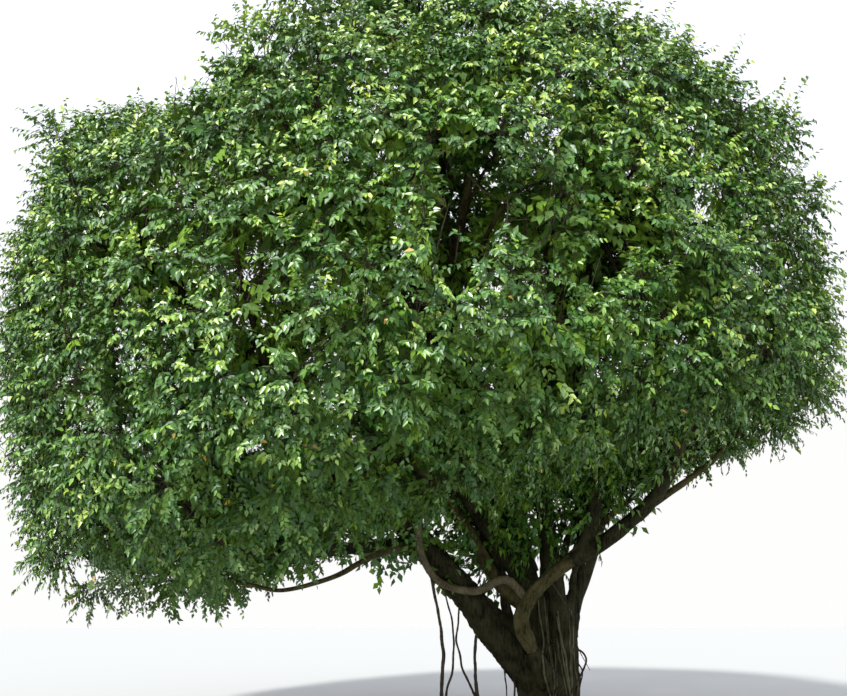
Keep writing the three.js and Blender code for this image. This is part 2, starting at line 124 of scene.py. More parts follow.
def bumps(points, scale, seed=0):
    # smooth noise from -1 to 1 at each point
    offset = Vector(seed * noiseOffset)
    return np.array([noise.noise(Vector(p) * scale + offset) for p in points])


def meshObject(name, points, faces, material, smooth=True):
    faces = np.asarray(faces, np.int32)
    sides = faces.shape[1]
    mesh = bpy.data.meshes.new(name)
    mesh.vertices.add(len(points))
    points = np.array(points, np.float32)
    points[:, 2] = np.maximum(points[:, 2], 0)  # nothing lies below the ground
    mesh.vertices.foreach_set("co", points.ravel())
    mesh.loops.add(faces.size)
    mesh.loops.foreach_set("vertex_index", faces.ravel())
    mesh.polygons.add(len(faces))
    mesh.polygons.foreach_set("loop_start", np.arange(0, faces.size, sides, dtype=np.int32))
    mesh.polygons.foreach_set("loop_total", np.full(len(faces), sides, np.int32))
    mesh.polygons.foreach_set("use_smooth", np.full(len(faces), smooth))
    mesh.update(calc_edges=True)
    mesh.validate()
    mesh.materials.append(material)
    piece = bpy.data.objects.new(name, mesh)
    scene.collection.objects.link(piece)
    return piece


def readCorners(mesh, key="co"):
    values = np.zeros(len(mesh.vertices) * 3, np.float32)
    mesh.vertices.foreach_get(key, values)
    return values.reshape(-1, 3)


def ringAngles(sides):
    return np.arange(sides) * 2 * math.pi / sides


def ringFrames(points, aslant=(0.31, 0.95, 0.05)):
    # two directions across a line at each of its points, carried along without twist
    along = unit(np.gradient(points, axis=0))
    first = np.cross(along[0], aslant)
    across = []
    for direction in along:
        first = first - direction * (first @ direction)
        first = first / max(np.linalg.norm(first), tiny)
        across.append(first)
    across = np.array(across)
    return across, np.cross(along, across)


def tube(points, radii, sides, start=0):
    # a capped tube as corners and four-sided faces
    across, other = ringFrames(points)
    angles = ringAngles(sides)
    radii = np.asarray(radii, float)
    if radii.ndim == 1:
        radii = np.repeat(radii[:, None], sides, axis=1)
    ring = across[:, None] * np.cos(angles)[None, :, None] + other[:, None] * np.sin(angles)[None, :, None]
    corners = (points[:, None] + ring * radii[:, :, None]).reshape(-1, 3)
    rows = np.arange(len(points) - 1)[:, None] * sides
    k = np.arange(sides)[None]
    after = (k + 1) % sides
    faces = np.stack([rows + k, rows + after, rows + sides + after, rows + sides + k], axis=-1).reshape(-1, 4)
    last = len(corners)
    ends = []
    for base, centre, order in ((0, last, -1), ((len(points) - 1) * sides, last + 1, 1)):
        for a in range(sides):
            pair = (base + a, base + (a + 1) % sides)[::order]
            ends.append((pair[0], pair[1], centre, centre))
    corners = np.vstack([corners, points[:1], points[-1:]])
    return corners, np.vstack([faces, ends]) + start


def joinedTubes(lines, sides):
    # lines is a list of (points, radii)
    corners, faces, total = [], [], 0
    for points, radii in lines:
        p, f = tube(points, radii, sides, total)
        corners.append(p)
        faces.append(f)
        total += len(p)
    faces = np.vstack(faces)
    flat = faces[:, 2] == faces[:, 3]
    triangles = np.vstack([faces[~flat][:, [0, 1, 2]], faces[~flat][:, [0, 2, 3]], faces[flat][:, :3]])
    return np.vstack(corners), triangles


def crossways(along):
    # two directions across each of many
    helper = np.where(np.abs(along[..., 2:3]) > steep, point(1, 0, 0), point(0, 0, 1))
    across = unit(np.cross(along, helper))
    return across, np.cross(along, across)


def manyTubes(paths, radii, sides):
    # open tubes on many lines at once: paths is lines x points x 3, radii is lines x points
    count, steps = paths.shape[:2]
    across, other = crossways(unit(np.gradient(paths, axis=1)))
    angles = ringAngles(sides)
    corners = (
        paths[:, :, None]
        + across[:, :, None] * (np.cos(angles)[None, None, :, None] * radii[:, :, None, None])
        + other[:, :, None] * (np.sin(angles)[None, None, :, None] * radii[:, :, None, None])
    ).reshape(-1, 3)
    base = np.arange(count)[:, None, None] * steps * sides + np.arange(steps - 1)[None, :, None] * sides
    k = np.arange(sides)[None, None]
    after = (k + 1) % sides
    lower, upper = base + k, base + after
    first = np.stack([lower, upper, upper + sides], axis=-1).reshape(-1, 3)
    second = np.stack([lower, upper + sides, lower + sides], axis=-1).reshape(-1, 3)
    return corners, np.vstack([first, second])


# Materials


def nodeGroup(name, inputs, outputs):
    tree = bpy.data.node_groups.new(name, "ShaderNodeTree")
    for label, kind, value in inputs:
        socket = tree.interface.new_socket(label, in_out="INPUT", socket_type=kind)
        socket.default_value = value
    for label, kind in outputs:
        tree.interface.new_socket(label, in_out="OUTPUT", socket_type=kind)
    return tree, tree.nodes.new("NodeGroupInput"), tree.nodes.new("NodeGroupOutput")


def feed(tree, socket, value):
    # a socket takes another node's output, or a plain value
    if isinstance(value, bpy.types.NodeSocket):
        tree.links.new(value, socket)
    else:
        socket.default_value = value


def addNode(tree, kind, values):
    node = tree.nodes.new(kind)
    for label, value in values.items():
        feed(tree, node.inputs[label], value)
    return node


def addNoise(tree, vector, scale, detail, roughness):
    values = {"Vector": vector, "Scale": scale, "Detail": detail, "Roughness": roughness}
    return addNode(tree, "ShaderNodeTexNoise", values).outputs["Fac"]


def addRange(tree, value, low, high, toLow=0.0, toHigh=1.0):
    values = {"Value": value, "From Min": low, "From Max": high, "To Min": toLow, "To Max": toHigh}
    return addNode(tree, "ShaderNodeMapRange", values).outputs["Result"]


def addMix(tree, share, first, second):
    node = tree.nodes.new("ShaderNodeMix")
    node.data_type = "RGBA"
    for name, value in (("Factor_Float", share), ("A_Color", first), ("B_Color", second)):
        feed(tree, next(s for s in node.inputs if s.identifier == name), value)
    return next(s for s in node.outputs if s.identifier == "Result_Color")


def addMath(tree, operation, first, second):
    node = tree.nodes.new("ShaderNodeMath")
    node.operation = operation
    feed(tree, node.inputs[0], first)
    feed(tree, node.inputs[1], second)
    return node.outputs["Value"]


def addVectorMath(tree, operation, vector, socket, value):
    node = tree.nodes.new("ShaderNodeVectorMath")
    node.operation = operation
    feed(tree, node.inputs[0], vector)
    feed(tree, node.inputs[socket], value)
    return node.outputs["Vector"]


def weightedSum(tree, *terms):
    parts = [addMath(tree, "MULTIPLY", value, weight) for value, weight in terms]
    return addMath(tree, "ADD", *parts)


grainLook = {
    # scale, detail and roughness of each noise
    "streaks": (42.0, 5.0, 0.65), "fine": (150.0, 3.0, 0.6), "blotches": (5.5, 4.0, 0.6),
    "crackRange": (0.36, 0.56), "blotchRange": (0.42, 0.66), "crackHeight": 0.7, "fineHeight": 0.3,
    "crackRoughness": 0.95, "gloss": 0.08,
}


def barkGrainGroup():
    # long cracks that run up the limb, blotches, and a height for the bump
    look, number = grainLook, "NodeSocketFloat"
    tree, start, end = nodeGroup(
        "barkGrain",
        [("Scale", number, 1.0), ("Stretch", number, 0.2)],
        [("Crack", number), ("Blotch", number), ("Height", number)],
    )
    place = tree.nodes.new("ShaderNodeTexCoord").outputs["Object"]
    stretch = addNode(tree, "ShaderNodeCombineXYZ", {"X": 1.0, "Y": 1.0, "Z": start.outputs["Stretch"]})
    stretched = addVectorMath(tree, "MULTIPLY", place, 1, stretch.outputs["Vector"])
    sized = addVectorMath(tree, "SCALE", stretched, "Scale", start.outputs["Scale"])
    crack = addRange(tree, addNoise(tree, sized, *look["streaks"]), *look["crackRange"])
    fine = addNoise(tree, sized, *look["fine"])
    blotch = addRange(tree, addNoise(tree, place, *look["blotches"]), *look["blotchRange"])
    feed(tree, end.inputs["Crack"], crack)
    feed(tree, end.inputs["Blotch"], blotch)
    height = weightedSum(tree, (crack, look["crackHeight"]), (fine, look["fineHeight"]))
    feed(tree, end.inputs["Height"], height)
    return tree


toneLook = {
    "byLeaf": (14.0, 2.0, 0.5), "bySpray": (2.3, 2.0, 0.5),  # scale, detail, roughness
    "leafRange": (0.3, 0.7), "sprayRange": (0.35, 0.65), "leafShare": 0.6, "sprayShare": 0.4,
}


def leafToneGroup():
    # a leaf's own tone, from one leaf to the next and a little across each
    look, black = toneLook, (0, 0, 0, 1)
    tree, start, end = nodeGroup(
        "leafTone",
        [("Green", "NodeSocketColor", black), ("Shade", "NodeSocketColor", black)],
        [("Color", "NodeSocketColor"), ("Spread", "NodeSocketFloat")],
    )
    place = tree.nodes.new("ShaderNodeTexCoord").outputs["Object"]
    byLeaf = addRange(tree, addNoise(tree, place, *look["byLeaf"]), *look["leafRange"])
    bySpray = addRange(tree, addNoise(tree, place, *look["bySpray"]), *look["sprayRange"])
    share = weightedSum(tree, (byLeaf, look["leafShare"]), (bySpray, look["sprayShare"]))
    feed(tree, end.inputs["Color"], addMix(tree, share, start.outputs["Shade"], start.outputs["Green"]))
    feed(tree, end.inputs["Spread"], share)
    return tree


barkGrain = barkGrainGroup()
leafTone = leafToneGroup()


def startMaterial(name):
    material = bpy.data.materials.new(name)
    material.use_nodes = True
    tree = material.node_tree
    tree.nodes.clear()
    shader = tree.nodes.new("ShaderNodeBsdfPrincipled")
    addNode(tree, "ShaderNodeOutputMaterial", {"Surface": shader.outputs["BSDF"]})
    return material, tree, shader


def useGroup(tree, group, values):
    node = tree.nodes.new("ShaderNodeGroup")
    node.node_tree = group
    for label, value in values.items():
        node.inputs[label].default_value = value
    return node


def barkMaterial(name, look):
    material, tree, shader = startMaterial(name)
    grain = useGroup(tree, barkGrain, {"Scale": look["scale"], "Stretch": look["stretch"]})
    crack = grain.outputs["Crack"]
    plain = addMix(tree, crack, (*look["crack"], 1), (*look["ridge"], 1))
    patchy = addMath(tree, "MULTIPLY", grain.outputs["Blotch"], look["patchShare"])
    feed(tree, shader.inputs["Base Color"], addMix(tree, patchy, plain, (*look["patch"], 1)))
    roughness = addRange(tree, crack, 0.0, 1.0, grainLook["crackRoughness"], look["roughness"])
    feed(tree, shader.inputs["Roughness"], roughness)
    relief = {"Strength": look["bump"], "Distance": look["depth"], "Height": grain.outputs["Height"]}
    bump = addNode(tree, "ShaderNodeBump", relief)
    feed(tree, shader.inputs["Normal"], bump.outputs["Normal"])
    shader.inputs["Specular IOR Level"].default_value = grainLook["gloss"]
    return material


barkLooks = {
    # painted shade: this bark's colours are darker than its own, standing in for the crown's shade on the
    # trunk, stems and boughs
    "dark_and_painted_shade": {
        "crack": (0.0012, 0.0011, 0.0005), "ridge": (0.0116, 0.0115, 0.0045), "patch": (0.034, 0.033, 0.014),
        "patchShare": 0.5, "scale": 1.0, "stretch": 0.16, "roughness": 0.85, "bump": 0.9, "depth": 0.012,
    },
    "olive": {
        "crack": (0.004, 0.0034, 0.0012), "ridge": (0.031, 0.028, 0.009), "patch": (0.072, 0.064, 0.023),
        "patchShare": 0.5, "scale": 1.0, "stretch": 0.25, "roughness": 0.8, "bump": 0.7, "depth": 0.008,
    },
    "pale": {
        "crack": (0.012, 0.010, 0.005), "ridge": (0.054, 0.046, 0.023), "patch": (0.105, 0.094, 0.054),
        "patchShare": 0.5, "scale": 1.3, "stretch": 0.4, "roughness": 0.78, "bump": 0.6, "depth": 0.006,
    },
    "cord": {
        "crack": (0.010, 0.009, 0.004), "ridge": (0.055, 0.049, 0.026), "patch": (0.130, 0.118, 0.070),
        "patchShare": 0.6, "scale": 1.5, "stretch": 0.3, "roughness": 0.85, "bump": 0.4, "depth": 0.003,
    },
    "root": {
        "crack": (0.007, 0.005, 0.003), "ridge": (0.026, 0.020, 0.012), "patch": (0.055, 0.046, 0.030),
        "patchShare": 0.4, "scale": 1.6, "stretch": 0.3, "roughness": 0.85, "bump": 0.5, "depth": 0.004,
    },
    "twig": {
        "crack": (0.007, 0.006, 0.003), "ridge": (0.024, 0.019, 0.011), "patch": (0.044, 0.038, 0.022),
        "patchShare": 0.4, "scale": 2.0, "stretch": 0.5, "roughness": 0.8, "bump": 0.3, "depth": 0.003,
    },
}
barks = {name: barkMaterial(f"bark_{name}", look) for name, look in barkLooks.items()}

leafLooks = {
    # painted light: a lighter green for the inner leaves high in the crown, standing in for light that comes
    # through the foliage from above
    "inner_painted_light": {
        "green": (0.130, 0.250, 0.020), "shade": (0.070, 0.155, 0.012), "under": (0.115, 0.215, 0.018),
        "roughness": (0.9, 0.75), "gloss": 0.08,
    },
    "olive": {
        "green": (0.050, 0.112, 0.010), "shade": (0.025, 0.060, 0.006), "under": (0.055, 0.110, 0.013),
        "roughness": (0.65, 0.5), "gloss": 0.15,
    },
    "deep": {
        "green": (0.028, 0.098, 0.008), "shade": (0.012, 0.048, 0.005), "under": (0.042, 0.105, 0.012),
        "roughness": (0.5, 0.36), "gloss": 0.3,
    },
    "mid": {
        "green": (0.070, 0.182, 0.010), "shade": (0.028, 0.092, 0.006), "under": (0.068, 0.150, 0.013),
        "roughness": (0.48, 0.33), "gloss": 0.5,
    },
    "bright": {
        "green": (0.190, 0.345, 0.017), "shade": (0.092, 0.215, 0.010), "under": (0.150, 0.265, 0.022),
        "roughness": (0.42, 0.28), "gloss": 1.0,
    },
    "young": {
        "green": (0.36, 0.48, 0.035), "shade": (0.22, 0.355, 0.022), "under": (0.27, 0.38, 0.04),
        "roughness": (0.45, 0.30), "gloss": 0.8,
    },
    "turned": {
        "green": (0.52, 0.36, 0.03), "shade": (0.42, 0.20, 0.02), "under": (0.4, 0.27, 0.05),
        "roughness": (0.5, 0.4), "gloss": 0.5,
    },
}


def leafMaterial(name, look):
    material, tree, shader = startMaterial(name)
    tone = useGroup(tree, leafTone, {"Green": (*look["green"], 1), "Shade": (*look["shade"], 1)})
    back = tree.nodes.new("ShaderNodeNewGeometry").outputs["Backfacing"]
    colour = addMix(tree, back, tone.outputs["Color"], (*look["under"], 1))
    roughness = addRange(tree, tone.outputs["Spread"], 0.0, 1.0, *look["roughness"])
    feed(tree, shader.inputs["Base Color"], colour)
    feed(tree, shader.inputs["Roughness"], roughness)
    shader.inputs["Specular IOR Level"].default_value = look["gloss"]
    return material


leafMaterials = {name: leafMaterial(f"leaf_{name}", look) for name, look in leafLooks.items()}
print("materials made")

# The crown's shape and its masses

crown = {
    "middle": point(-1.54, 0, 4.3),
    "halfWidth": 5.0, "halfDepth": 4.35,
    "rise": 4.12, "fall": 2.52,  # from the middle up and down
    "lowSide": heading(-50, 0), "tilt": 1.27,  # the rim is lower on this side
    "frontLift": 1.15,  # and higher at the front
    "dip": heading(-46, 42), "dipWidth": 14, "dipDepth": 0.25,  # between the top and the left shoulder
    "boxiness": 2.8,
    "lowest": -52,  # elevation below which the dome is open
    "spacing": 0.44,  # between clusters of sprays
    "innerShare": 0.62,  # where boughs end and stems begin
}
rings = [
    {"name": "skirt", "count": 7, "first": 11, "elevation": -25, "climb": 9},
    {"name": "belt", "count": 7, "first": -14.7, "elevation": 11, "climb": 0},
    {"name": "shoulder", "count": 6, "first": 11, "elevation": 44, "climb": 0},
    {"name": "top", "count": 1, "first": 0, "elevation": 87, "climb": 0},
]
openings = [
    {"mouth": point(-0.48, -3.95, 4.4), "along": heading(188, 23), "radius": 0.40},
    {"mouth": point(-3.05, -3.30, 4.65), "along": heading(168, 22), "radius": 0.26},
]


def crownReach(directions):
    directions = np.atleast_2d(directions)
    flat = np.hypot(directions[:, 0] / crown["halfWidth"], directions[:, 1] / crown["halfDepth"])
    lift = crown["frontLift"] * np.maximum(0, -directions[:, 1])
    below = crown["fall"] + crown["tilt"] * (directions @ crown["lowSide"]) - lift
    tall = np.where(directions[:, 2] > 0, crown["rise"], below)
    power = crown["boxiness"]
    full = (flat**power + (np.abs(directions[:, 2]) / tall) ** power) ** (-1 / power)
    fromDip = np.degrees(np.arccos(np.clip(directions @ crown["dip"], -1, 1))) / crown["dipWidth"]
    return full * (1 - crown["dipDepth"] * np.exp(-fromDip * fromDip))


def domePoint(directions, share):
    directions = np.atleast_2d(directions)
    return crown["middle"] + directions * (crownReach(directions) * share)[:, None]


masses = []
for ring in rings:
    for i in range(ring["count"]):
        azimuth = ring["first"] + 360 / ring["count"] * i
        elevation = ring["elevation"] + ring["climb"] * math.sin(math.radians(azimuth))
        name = f"{ring['name']}_{i + 1}"
        masses.append({"name": name, "ring": ring["name"], "axis": heading(azimuth, elevation)})
massNamed = {mass["name"]: mass for mass in masses}
axes = np.array([mass["axis"] for mass in masses])

# The limbs, on the same lines as the source's

limbPoints = 60  # on each limb's line
sweepPoints = 80  # on the curve that it is taken from


def anchorOf(name, azimuth=None, elevation=None, share=crown["innerShare"]):
    direction = massNamed[name]["axis"] if azimuth is None else heading(azimuth, elevation)
    return domePoint(direction, np.array([share]))[0]


def sweep(start, leaving, end, arriving, bend=0.38):
    reach = np.linalg.norm(end - start) * bend
    corners = (start, start + leaving * reach, end - arriving * reach, end)
    return evenly(bezier(corners, sweepPoints), limbPoints)


def spline(*corners):
    return smoothLine(corners, limbPoints)


limbs = {}


def addLimb(name, line, radii, mass):
    limbs[name] = {"line": line, "radii": taper(*radii, len(line))}
    massNamed[mass]["limb"] = name


def lineAt(name, share):
    line = limbs[name]["line"]
    return line[int(round(share * (len(line) - 1)))]


addLimb(
    "left_bough",
    sweep(point(-0.03, -0.06, 0.38), heading(-80, 52), anchorOf("belt_7"), heading(-70, 40), 0.3),
    (0.215, 0.062), "belt_7",
)
addLimb(
    "leader",
    sweep(point(-0.02, 0.06, 0.42), heading(-85, 84), anchorOf("top_1"), heading(50, 80), 0.42),
    (0.205, 0.074), "top_1",
)
addLimb(
    "right_bough",
    spline((-0.06, -0.21, 0.56), (-0.3, -0.4, 1.0), (-0.4, -0.45, 1.3), (-0.13, -0.43, 1.69),
           (0.62, -0.51, 2.17), (1.02, -0.74, 2.53), anchorOf("skirt_2", 66, -25, 0.98)),
    (0.118, 0.066), "skirt_2",
)
addLimb(
    "right_stem",
    spline((0.16, 0.02, 0.4), (0.19, 0.04, 1.25), (0.43, 0.06, 1.9), (0.82, 0.09, 3.0), anchorOf("belt_3")),
    (0.118, 0.056), "belt_3",
)
addLimb(
    "middle_stem",
    spline((0.07, -0.09, 0.42), (0.06, -0.13, 1.3), (-0.06, -0.16, 2.5), (0.03, -0.26, 4.3),
           anchorOf("shoulder_2")),
    (0.128, 0.052), "shoulder_2",
)
addLimb(
    "back_bough",
    sweep(point(0.02, 0.11, 0.42), heading(165, 66), anchorOf("belt_5"), heading(180, 40), 0.36),
    (0.17, 0.06), "belt_5",
)
stemNames = list(limbs)

branches = [
    # from, where on it, to, leaving, arriving, radii, tip
    ("left_bough", 0.36, "skirt_7", (-100, 2), (-60, 6), (0.086, 0.044), (-44, -44, 0.9)),
    ("left_bough", 0.46, "skirt_6", (-110, 20), (-95, 0), (0.078, 0.044), None),
    ("left_bough", 0.56, "belt_6", (-140, 30), (-125, 25), (0.076, 0.044), None),
    ("left_bough", 0.64, "shoulder_5", (-100, 62), (-115, 55), (0.080, 0.046), None),
    ("leader", 0.17, "belt_1", (-60, 52), (-10, 30), (0.104, 0.050), None),
    ("leader", 0.27, "shoulder_6", (-70, 55), (-45, 55), (0.100, 0.048), None),
    ("leader", 0.62, "shoulder_1", (60, 45), (40, 50), (0.076, 0.046), None),
    ("leader", 0.56, "shoulder_4", (-170, 50), (-165, 50), (0.078, 0.046), None),
    ("right_bough", 0.52, "belt_2", (70, 60), (30, 50), (0.078, 0.046), None),
    ("right_stem", 0.56, "skirt_3", (100, 30), (105, 20), (0.066, 0.042), (108, -18, 0.78)),
    ("back_bough", 0.3, "shoulder_3", (120, 74), (125, 60), (0.092, 0.046), None),
    ("back_bough", 0.42, "belt_4", (130, 50), (130, 30), (0.080, 0.046), None),
    ("back_bough", 0.36, "skirt_4", (160, 25), (160, 5), (0.076, 0.042), None),
    ("back_bough", 0.5, "skirt_5", (-150, 20), (-145, 0), (0.074, 0.042), None),
]
for source, at, mass, leaving, arriving, radii, tip in branches:
    line = sweep(lineAt(source, at), heading(*leaving), anchorOf(mass, *(tip or ())), heading(*arriving))
    addLimb(f"bough_to_{mass}", line, radii, mass)
addLimb(
    "pale_arm",
    spline(lineAt("right_bough", 0.3), (-0.56, -0.47, 1.7), (-0.9, -0.48, 1.58), (-1.3, -0.52, 1.69),
           (-1.5, -0.72, 2.06), anchorOf("skirt_1", 6, -38, 0.66)),
    (0.058, 0.036), "skirt_1",
)

# Bark

ridgeLook = {
    "depth": 0.09, "ridges": 3, "wander": 0.9, "seedTurn": 1.7,
    "moreRidges": 5, "moreShare": 0.6, "moreTurn": 1.6, "waveShare": 0.5,
    "knotShare": 1.5, "knotScale": 2.4, "knotsAlong": 2.2, "knotsRound": 0.8,
}


def ridged(line, radii, sides, seed):
    # radii round the limb at each ring, with ridges that wander along it and a few knots
    look = ridgeLook
    lengths = arcLengths(line)
    angles = ringAngles(sides)
    turn = seed * look["seedTurn"] + lengths * look["wander"]
    wave = np.cos(look["ridges"] * angles[None] + turn[:, None])
    wave += look["moreShare"] * np.cos(look["moreRidges"] * angles[None] - look["moreTurn"] * turn[:, None])
    spots = np.stack([
        np.repeat(lengths[:, None], sides, axis=1) * look["knotsAlong"],
        repeated(np.cos(angles), len(line)) * look["knotsRound"],
        repeated(np.sin(angles), len(line)) * look["knotsRound"],
    ], axis=-1).reshape(-1, 3)
    rough = bumps(spots, look["knotScale"], seed).reshape(len(line), sides)
    ridges = look["depth"] * wave * look["waveShare"]
    return np.asarray(radii)[:, None] * (1 + ridges + look["depth"] * look["knotShare"] * rough)


def barkTubes(name, entries, sides, material):
    lines = []
    for seed, (line, radii) in enumerate(entries):
        lines.append((line, ridged(line, radii, sides, seed + len(name))))
    return meshObject(name, *joinedTubes(lines, sides), material)


def between(name, low, high, step=0.045):
    # a stretch of a limb with rings at even steps
    entry = limbs[name]
    shares = np.linspace(0, 1, len(entry["line"]))
    length = arcLengths(entry["line"])[-1] * (high - low)
    wanted = np.linspace(low, high, max(4, int(length / step)))
    line = np.stack([np.interp(wanted, shares, entry["line"][:, k]) for k in range(3)], axis=1)
    return line, np.interp(wanted, shares, entry["radii"])


trunkLook = {
    "seed": 11, "strands": 14, "strandPoints": 26, "voxel": 0.020, "relief": 0.015,
    # half widths, sideways lean and height of the rings that the strands pass, from the ground up
    "foot": ((0.38, 0.34), 0, 0), "knee": ((0.27, 0.235), -0.05, 0.22),
    "waist": ((0.25, 0.215), -0.115, 0.55), "high": ((0.15, 0.15), -0.13, 1.22),
    "footSpread": 0.22, "footHeight": 0.02, "twist": 0.5, "highVary": (0.8, 0.3), "girthVary": (0.85, 0.35),
    "radii": (0.096, 0.070, 0.048), "waistShare": 0.35,
    "heart": [(0, 0, 0.02), (-0.02, 0, 0.5), (-0.05, 0, 0.95)], "heartRadii": (0.20, 0.13), "heartPoints": 20,
}
strandLook = {
    "heart": 0.88, "offset": 0.70, "radius": 0.36,  # shares of the limb's own radius
    "fadeFrom": 0.75, "fadeTo": 0.8, "turn": 2.2, "turnShift": 0.3,
    "reachVary": (0.6, 0.4), "tipFrom": 0.7, "tip": 0.25, "girthVary": (0.7, 0.5),
}
stemLook = {
    "reach": {"left_bough": 0.42, "leader": 0.34, "right_stem": 0.34, "middle_stem": 0.26,
              "back_bough": 0.36},
    "seed": 5, "cords": 7, "step": 0.05,
    "overlap": 0.6,  # the plain bark begins at this share of the reach
    "sideCords": 3, "frontCords": 5, "frontStep": 0.03, "frontOverlap": 0.06,
    "sides": 14, "boughSides": 11,
}
frontLimb = {
    "from": 0.085, "reach": 0.62, "step": 0.04, "girth": 0.86, "cords": 6, "voxel": 0.014, "relief": 0.010,
    "footRings": 9, "footGirth": 0.4, "overlap": 0.8, "seed": 8,
}
sideStems = [
    # thinner stems that fill the fork between the thick ones: the points they pass, radii
    ([(-0.02, 0.05, 0.6), (0.02, 0.05, 1.05), (0.11, 0.0, 1.8), (0.30, 0.0, 2.38), (0.62, 0.05, 2.95),
      (1.0, 0.2, 3.7)], (0.070, 0.026)),
    ([(-0.1, -0.05, 0.6), (-0.13, -0.1, 1.2), (-0.09, -0.08, 1.92), (-0.12, 0.0, 2.6), (-0.2, 0.1, 3.4)],
     (0.078, 0.034)),
    ([(0.08, -0.02, 0.6), (0.15, -0.08, 1.1), (0.235, -0.1, 1.7), (0.33, -0.12, 2.26), (0.5, -0.16, 2.95),
      (0.75, -0.3, 3.8)], (0.066, 0.026)),
    ([(-0.22, -0.05, 0.75), (-0.5, -0.06, 1.28), (-0.585, -0.08, 1.81), (-0.757, -0.12, 2.15),
      (-0.915, -0.2, 2.45), (-1.075, -0.28, 2.65), (-1.45, -0.45, 2.79), (-1.95, -0.7, 3.1)], (0.082, 0.034)),
    ([(-0.15, 0.0, 0.75), (-0.33, -0.05, 1.3), (-0.42, -0.05, 1.8), (-0.52, 0.0, 2.35), (-0.66, 0.05, 3.0)],
     (0.078, 0.036)),
    ([(0.12, 0.05, 0.6), (0.22, 0.1, 1.1), (0.33, 0.12, 1.7), (0.42, 0.15, 2.2), (0.6, 0.3, 3.2)],
     (0.062, 0.028)),
]
sideLines = [(spline(*corners), taper(*radii, limbPoints)) for corners, radii in sideStems]


def around(angle, halfWidths, lean, height):
    # a point on an upright ring round the stump
    return point(lean + math.cos(angle) * halfWidths[0], math.sin(angle) * halfWidths[1], height)


def trunkStrands():
    look = trunkLook
    random = np.random.default_rng(look["seed"])
    share = np.linspace(0, 1, look["strandPoints"])
    girth = np.interp(share, (0, look["waistShare"], 1), look["radii"])
    lines = []
    for k in range(look["strands"]):
        angle = math.tau * (k + 0.5 * random.random()) / look["strands"]
        spread = vary(random, 1, look["footSpread"])
        twist = look["twist"] * (random.random() - 0.5)
        halfWidths, lean, height = look["high"]
        high = around(angle + 2 * twist, halfWidths, lean, height * vary(random, *look["highVary"]))
        foot = around(angle, *look["foot"]) * spread
        foot[2] = look["footHeight"]
        corners = [foot, around(angle, *look["knee"]), around(angle + twist, *look["waist"]), high]
        lines.append((smoothLine(corners, len(share)), girth * vary(random, *look["girthVary"])))
    count = look["heartPoints"]
    lines.append((smoothLine(look["heart"], count), np.linspace(*look["heartRadii"], count)))
    return lines


def strandsOn(line, radii, cords, random):
    # a limb's heart and the cords that have grown onto it
    look = strandLook
    share = np.linspace(0, 1, len(line))
    fade = np.interp(share, (0, look["fadeFrom"], 1), (1, 1, look["fadeTo"]))
    lines = [(line, radii * fade * look["heart"])]
    across, other = ringFrames(line)
    for k in range(cords):
        angle = math.tau * (k + random.random()) / cords
        angle = angle + share * look["turn"] * (random.random() - look["turnShift"])
        side = across * np.cos(angle)[:, None] + other * np.sin(angle)[:, None]
        cord = line + side * (radii * look["offset"] * fade)[:, None]
        end = int(len(line) * vary(random, *look["reachVary"]))
        thin = np.interp(np.linspace(0, 1, end), (0, look["tipFrom"], 1), (1, 1, look["tip"]))
        girth = vary(random, *look["girthVary"])
        lines.append((cord[:end], radii[:end] * look["radius"] * girth * thin))
    return lines


def stemStrands():
    look = stemLook
    random = np.random.default_rng(look["seed"])
    lines = []
    for name, reach in look["reach"].items():
        lines += strandsOn(*between(name, 0, reach, look["step"]), look["cords"], random)
    frontFoot = between("right_bough", 0, frontLimb["from"] + look["frontOverlap"], look["frontStep"])
    lines += strandsOn(*frontFoot, look["frontCords"], random)
    for line, radii in sideLines:
        lines += strandsOn(line, radii, look["sideCords"], random)
    return lines


barkRelief = {
    # height and scale of each layer of the relief, and how far the thin ones are drawn out along the stem
    "cracks": (0.9, 26.0), "grain": (0.6, 60.0), "swellings": (0.8, 6.0), "squeeze": 0.22,
    "sides": 10, "smoothing": 0.5,
}


def melted(name, lines, material, voxel):
    # strands melted together into one mesh
    raw = meshObject("raw_" + name, *joinedTubes(lines, barkRelief["sides"]), material)
    remesh = raw.modifiers.new("remesh", "REMESH")
    remesh.mode = "VOXEL"
    remesh.voxel_size = voxel
    smooth = raw.modifiers.new("smooth", "SMOOTH")
    smooth.iterations = 1
    smooth.factor = barkRelief["smoothing"]
    evaluated = raw.evaluated_get(bpy.context.evaluated_depsgraph_get())
    mesh = bpy.data.meshes.new_from_object(evaluated)
    bpy.data.objects.remove(raw)
    return mesh


def fused(name, lines, material, voxel, relief):
    # melted strands, with the bark's relief pushed into the surface
    look = barkRelief
    mesh = melted(name, lines, material, voxel)
    corners, normals = readCorners(mesh).astype(float), readCorners(mesh, "normal")
    squeezed = corners * (1, 1, look["squeeze"])
    layers = (("cracks", squeezed), ("grain", squeezed), ("swellings", corners))
    height = 0
    for seed, (key, places) in enumerate(layers, 1):
        size, scale = look[key]
        height = height + size * bumps(places, scale, seed)
    corners = corners + normals * (relief * height)[:, None]
    corners[:, 2] = np.maximum(corners[:, 2], 0.0)
    mesh.vertices.foreach_set("co", corners.astype(np.float32).ravel())
    mesh.polygons.foreach_set("use_smooth", np.full(len(mesh.polygons), True))
    mesh.materials.clear()
    mesh.materials.append(material)
    piece = bpy.data.objects.new(name, mesh)
    scene.collection.objects.link(piece)
    print(name, len(mesh.polygons), "faces")
    return piece


trunkStrandLines = trunkStrands() + stemStrands()
trunkPiece = fused("fused_trunk", trunkStrandLines, barks["dark_and_painted_shade"], trunkLook["voxel"], trunkLook["relief"])
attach(trunkPiece, "root")
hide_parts("trunk")

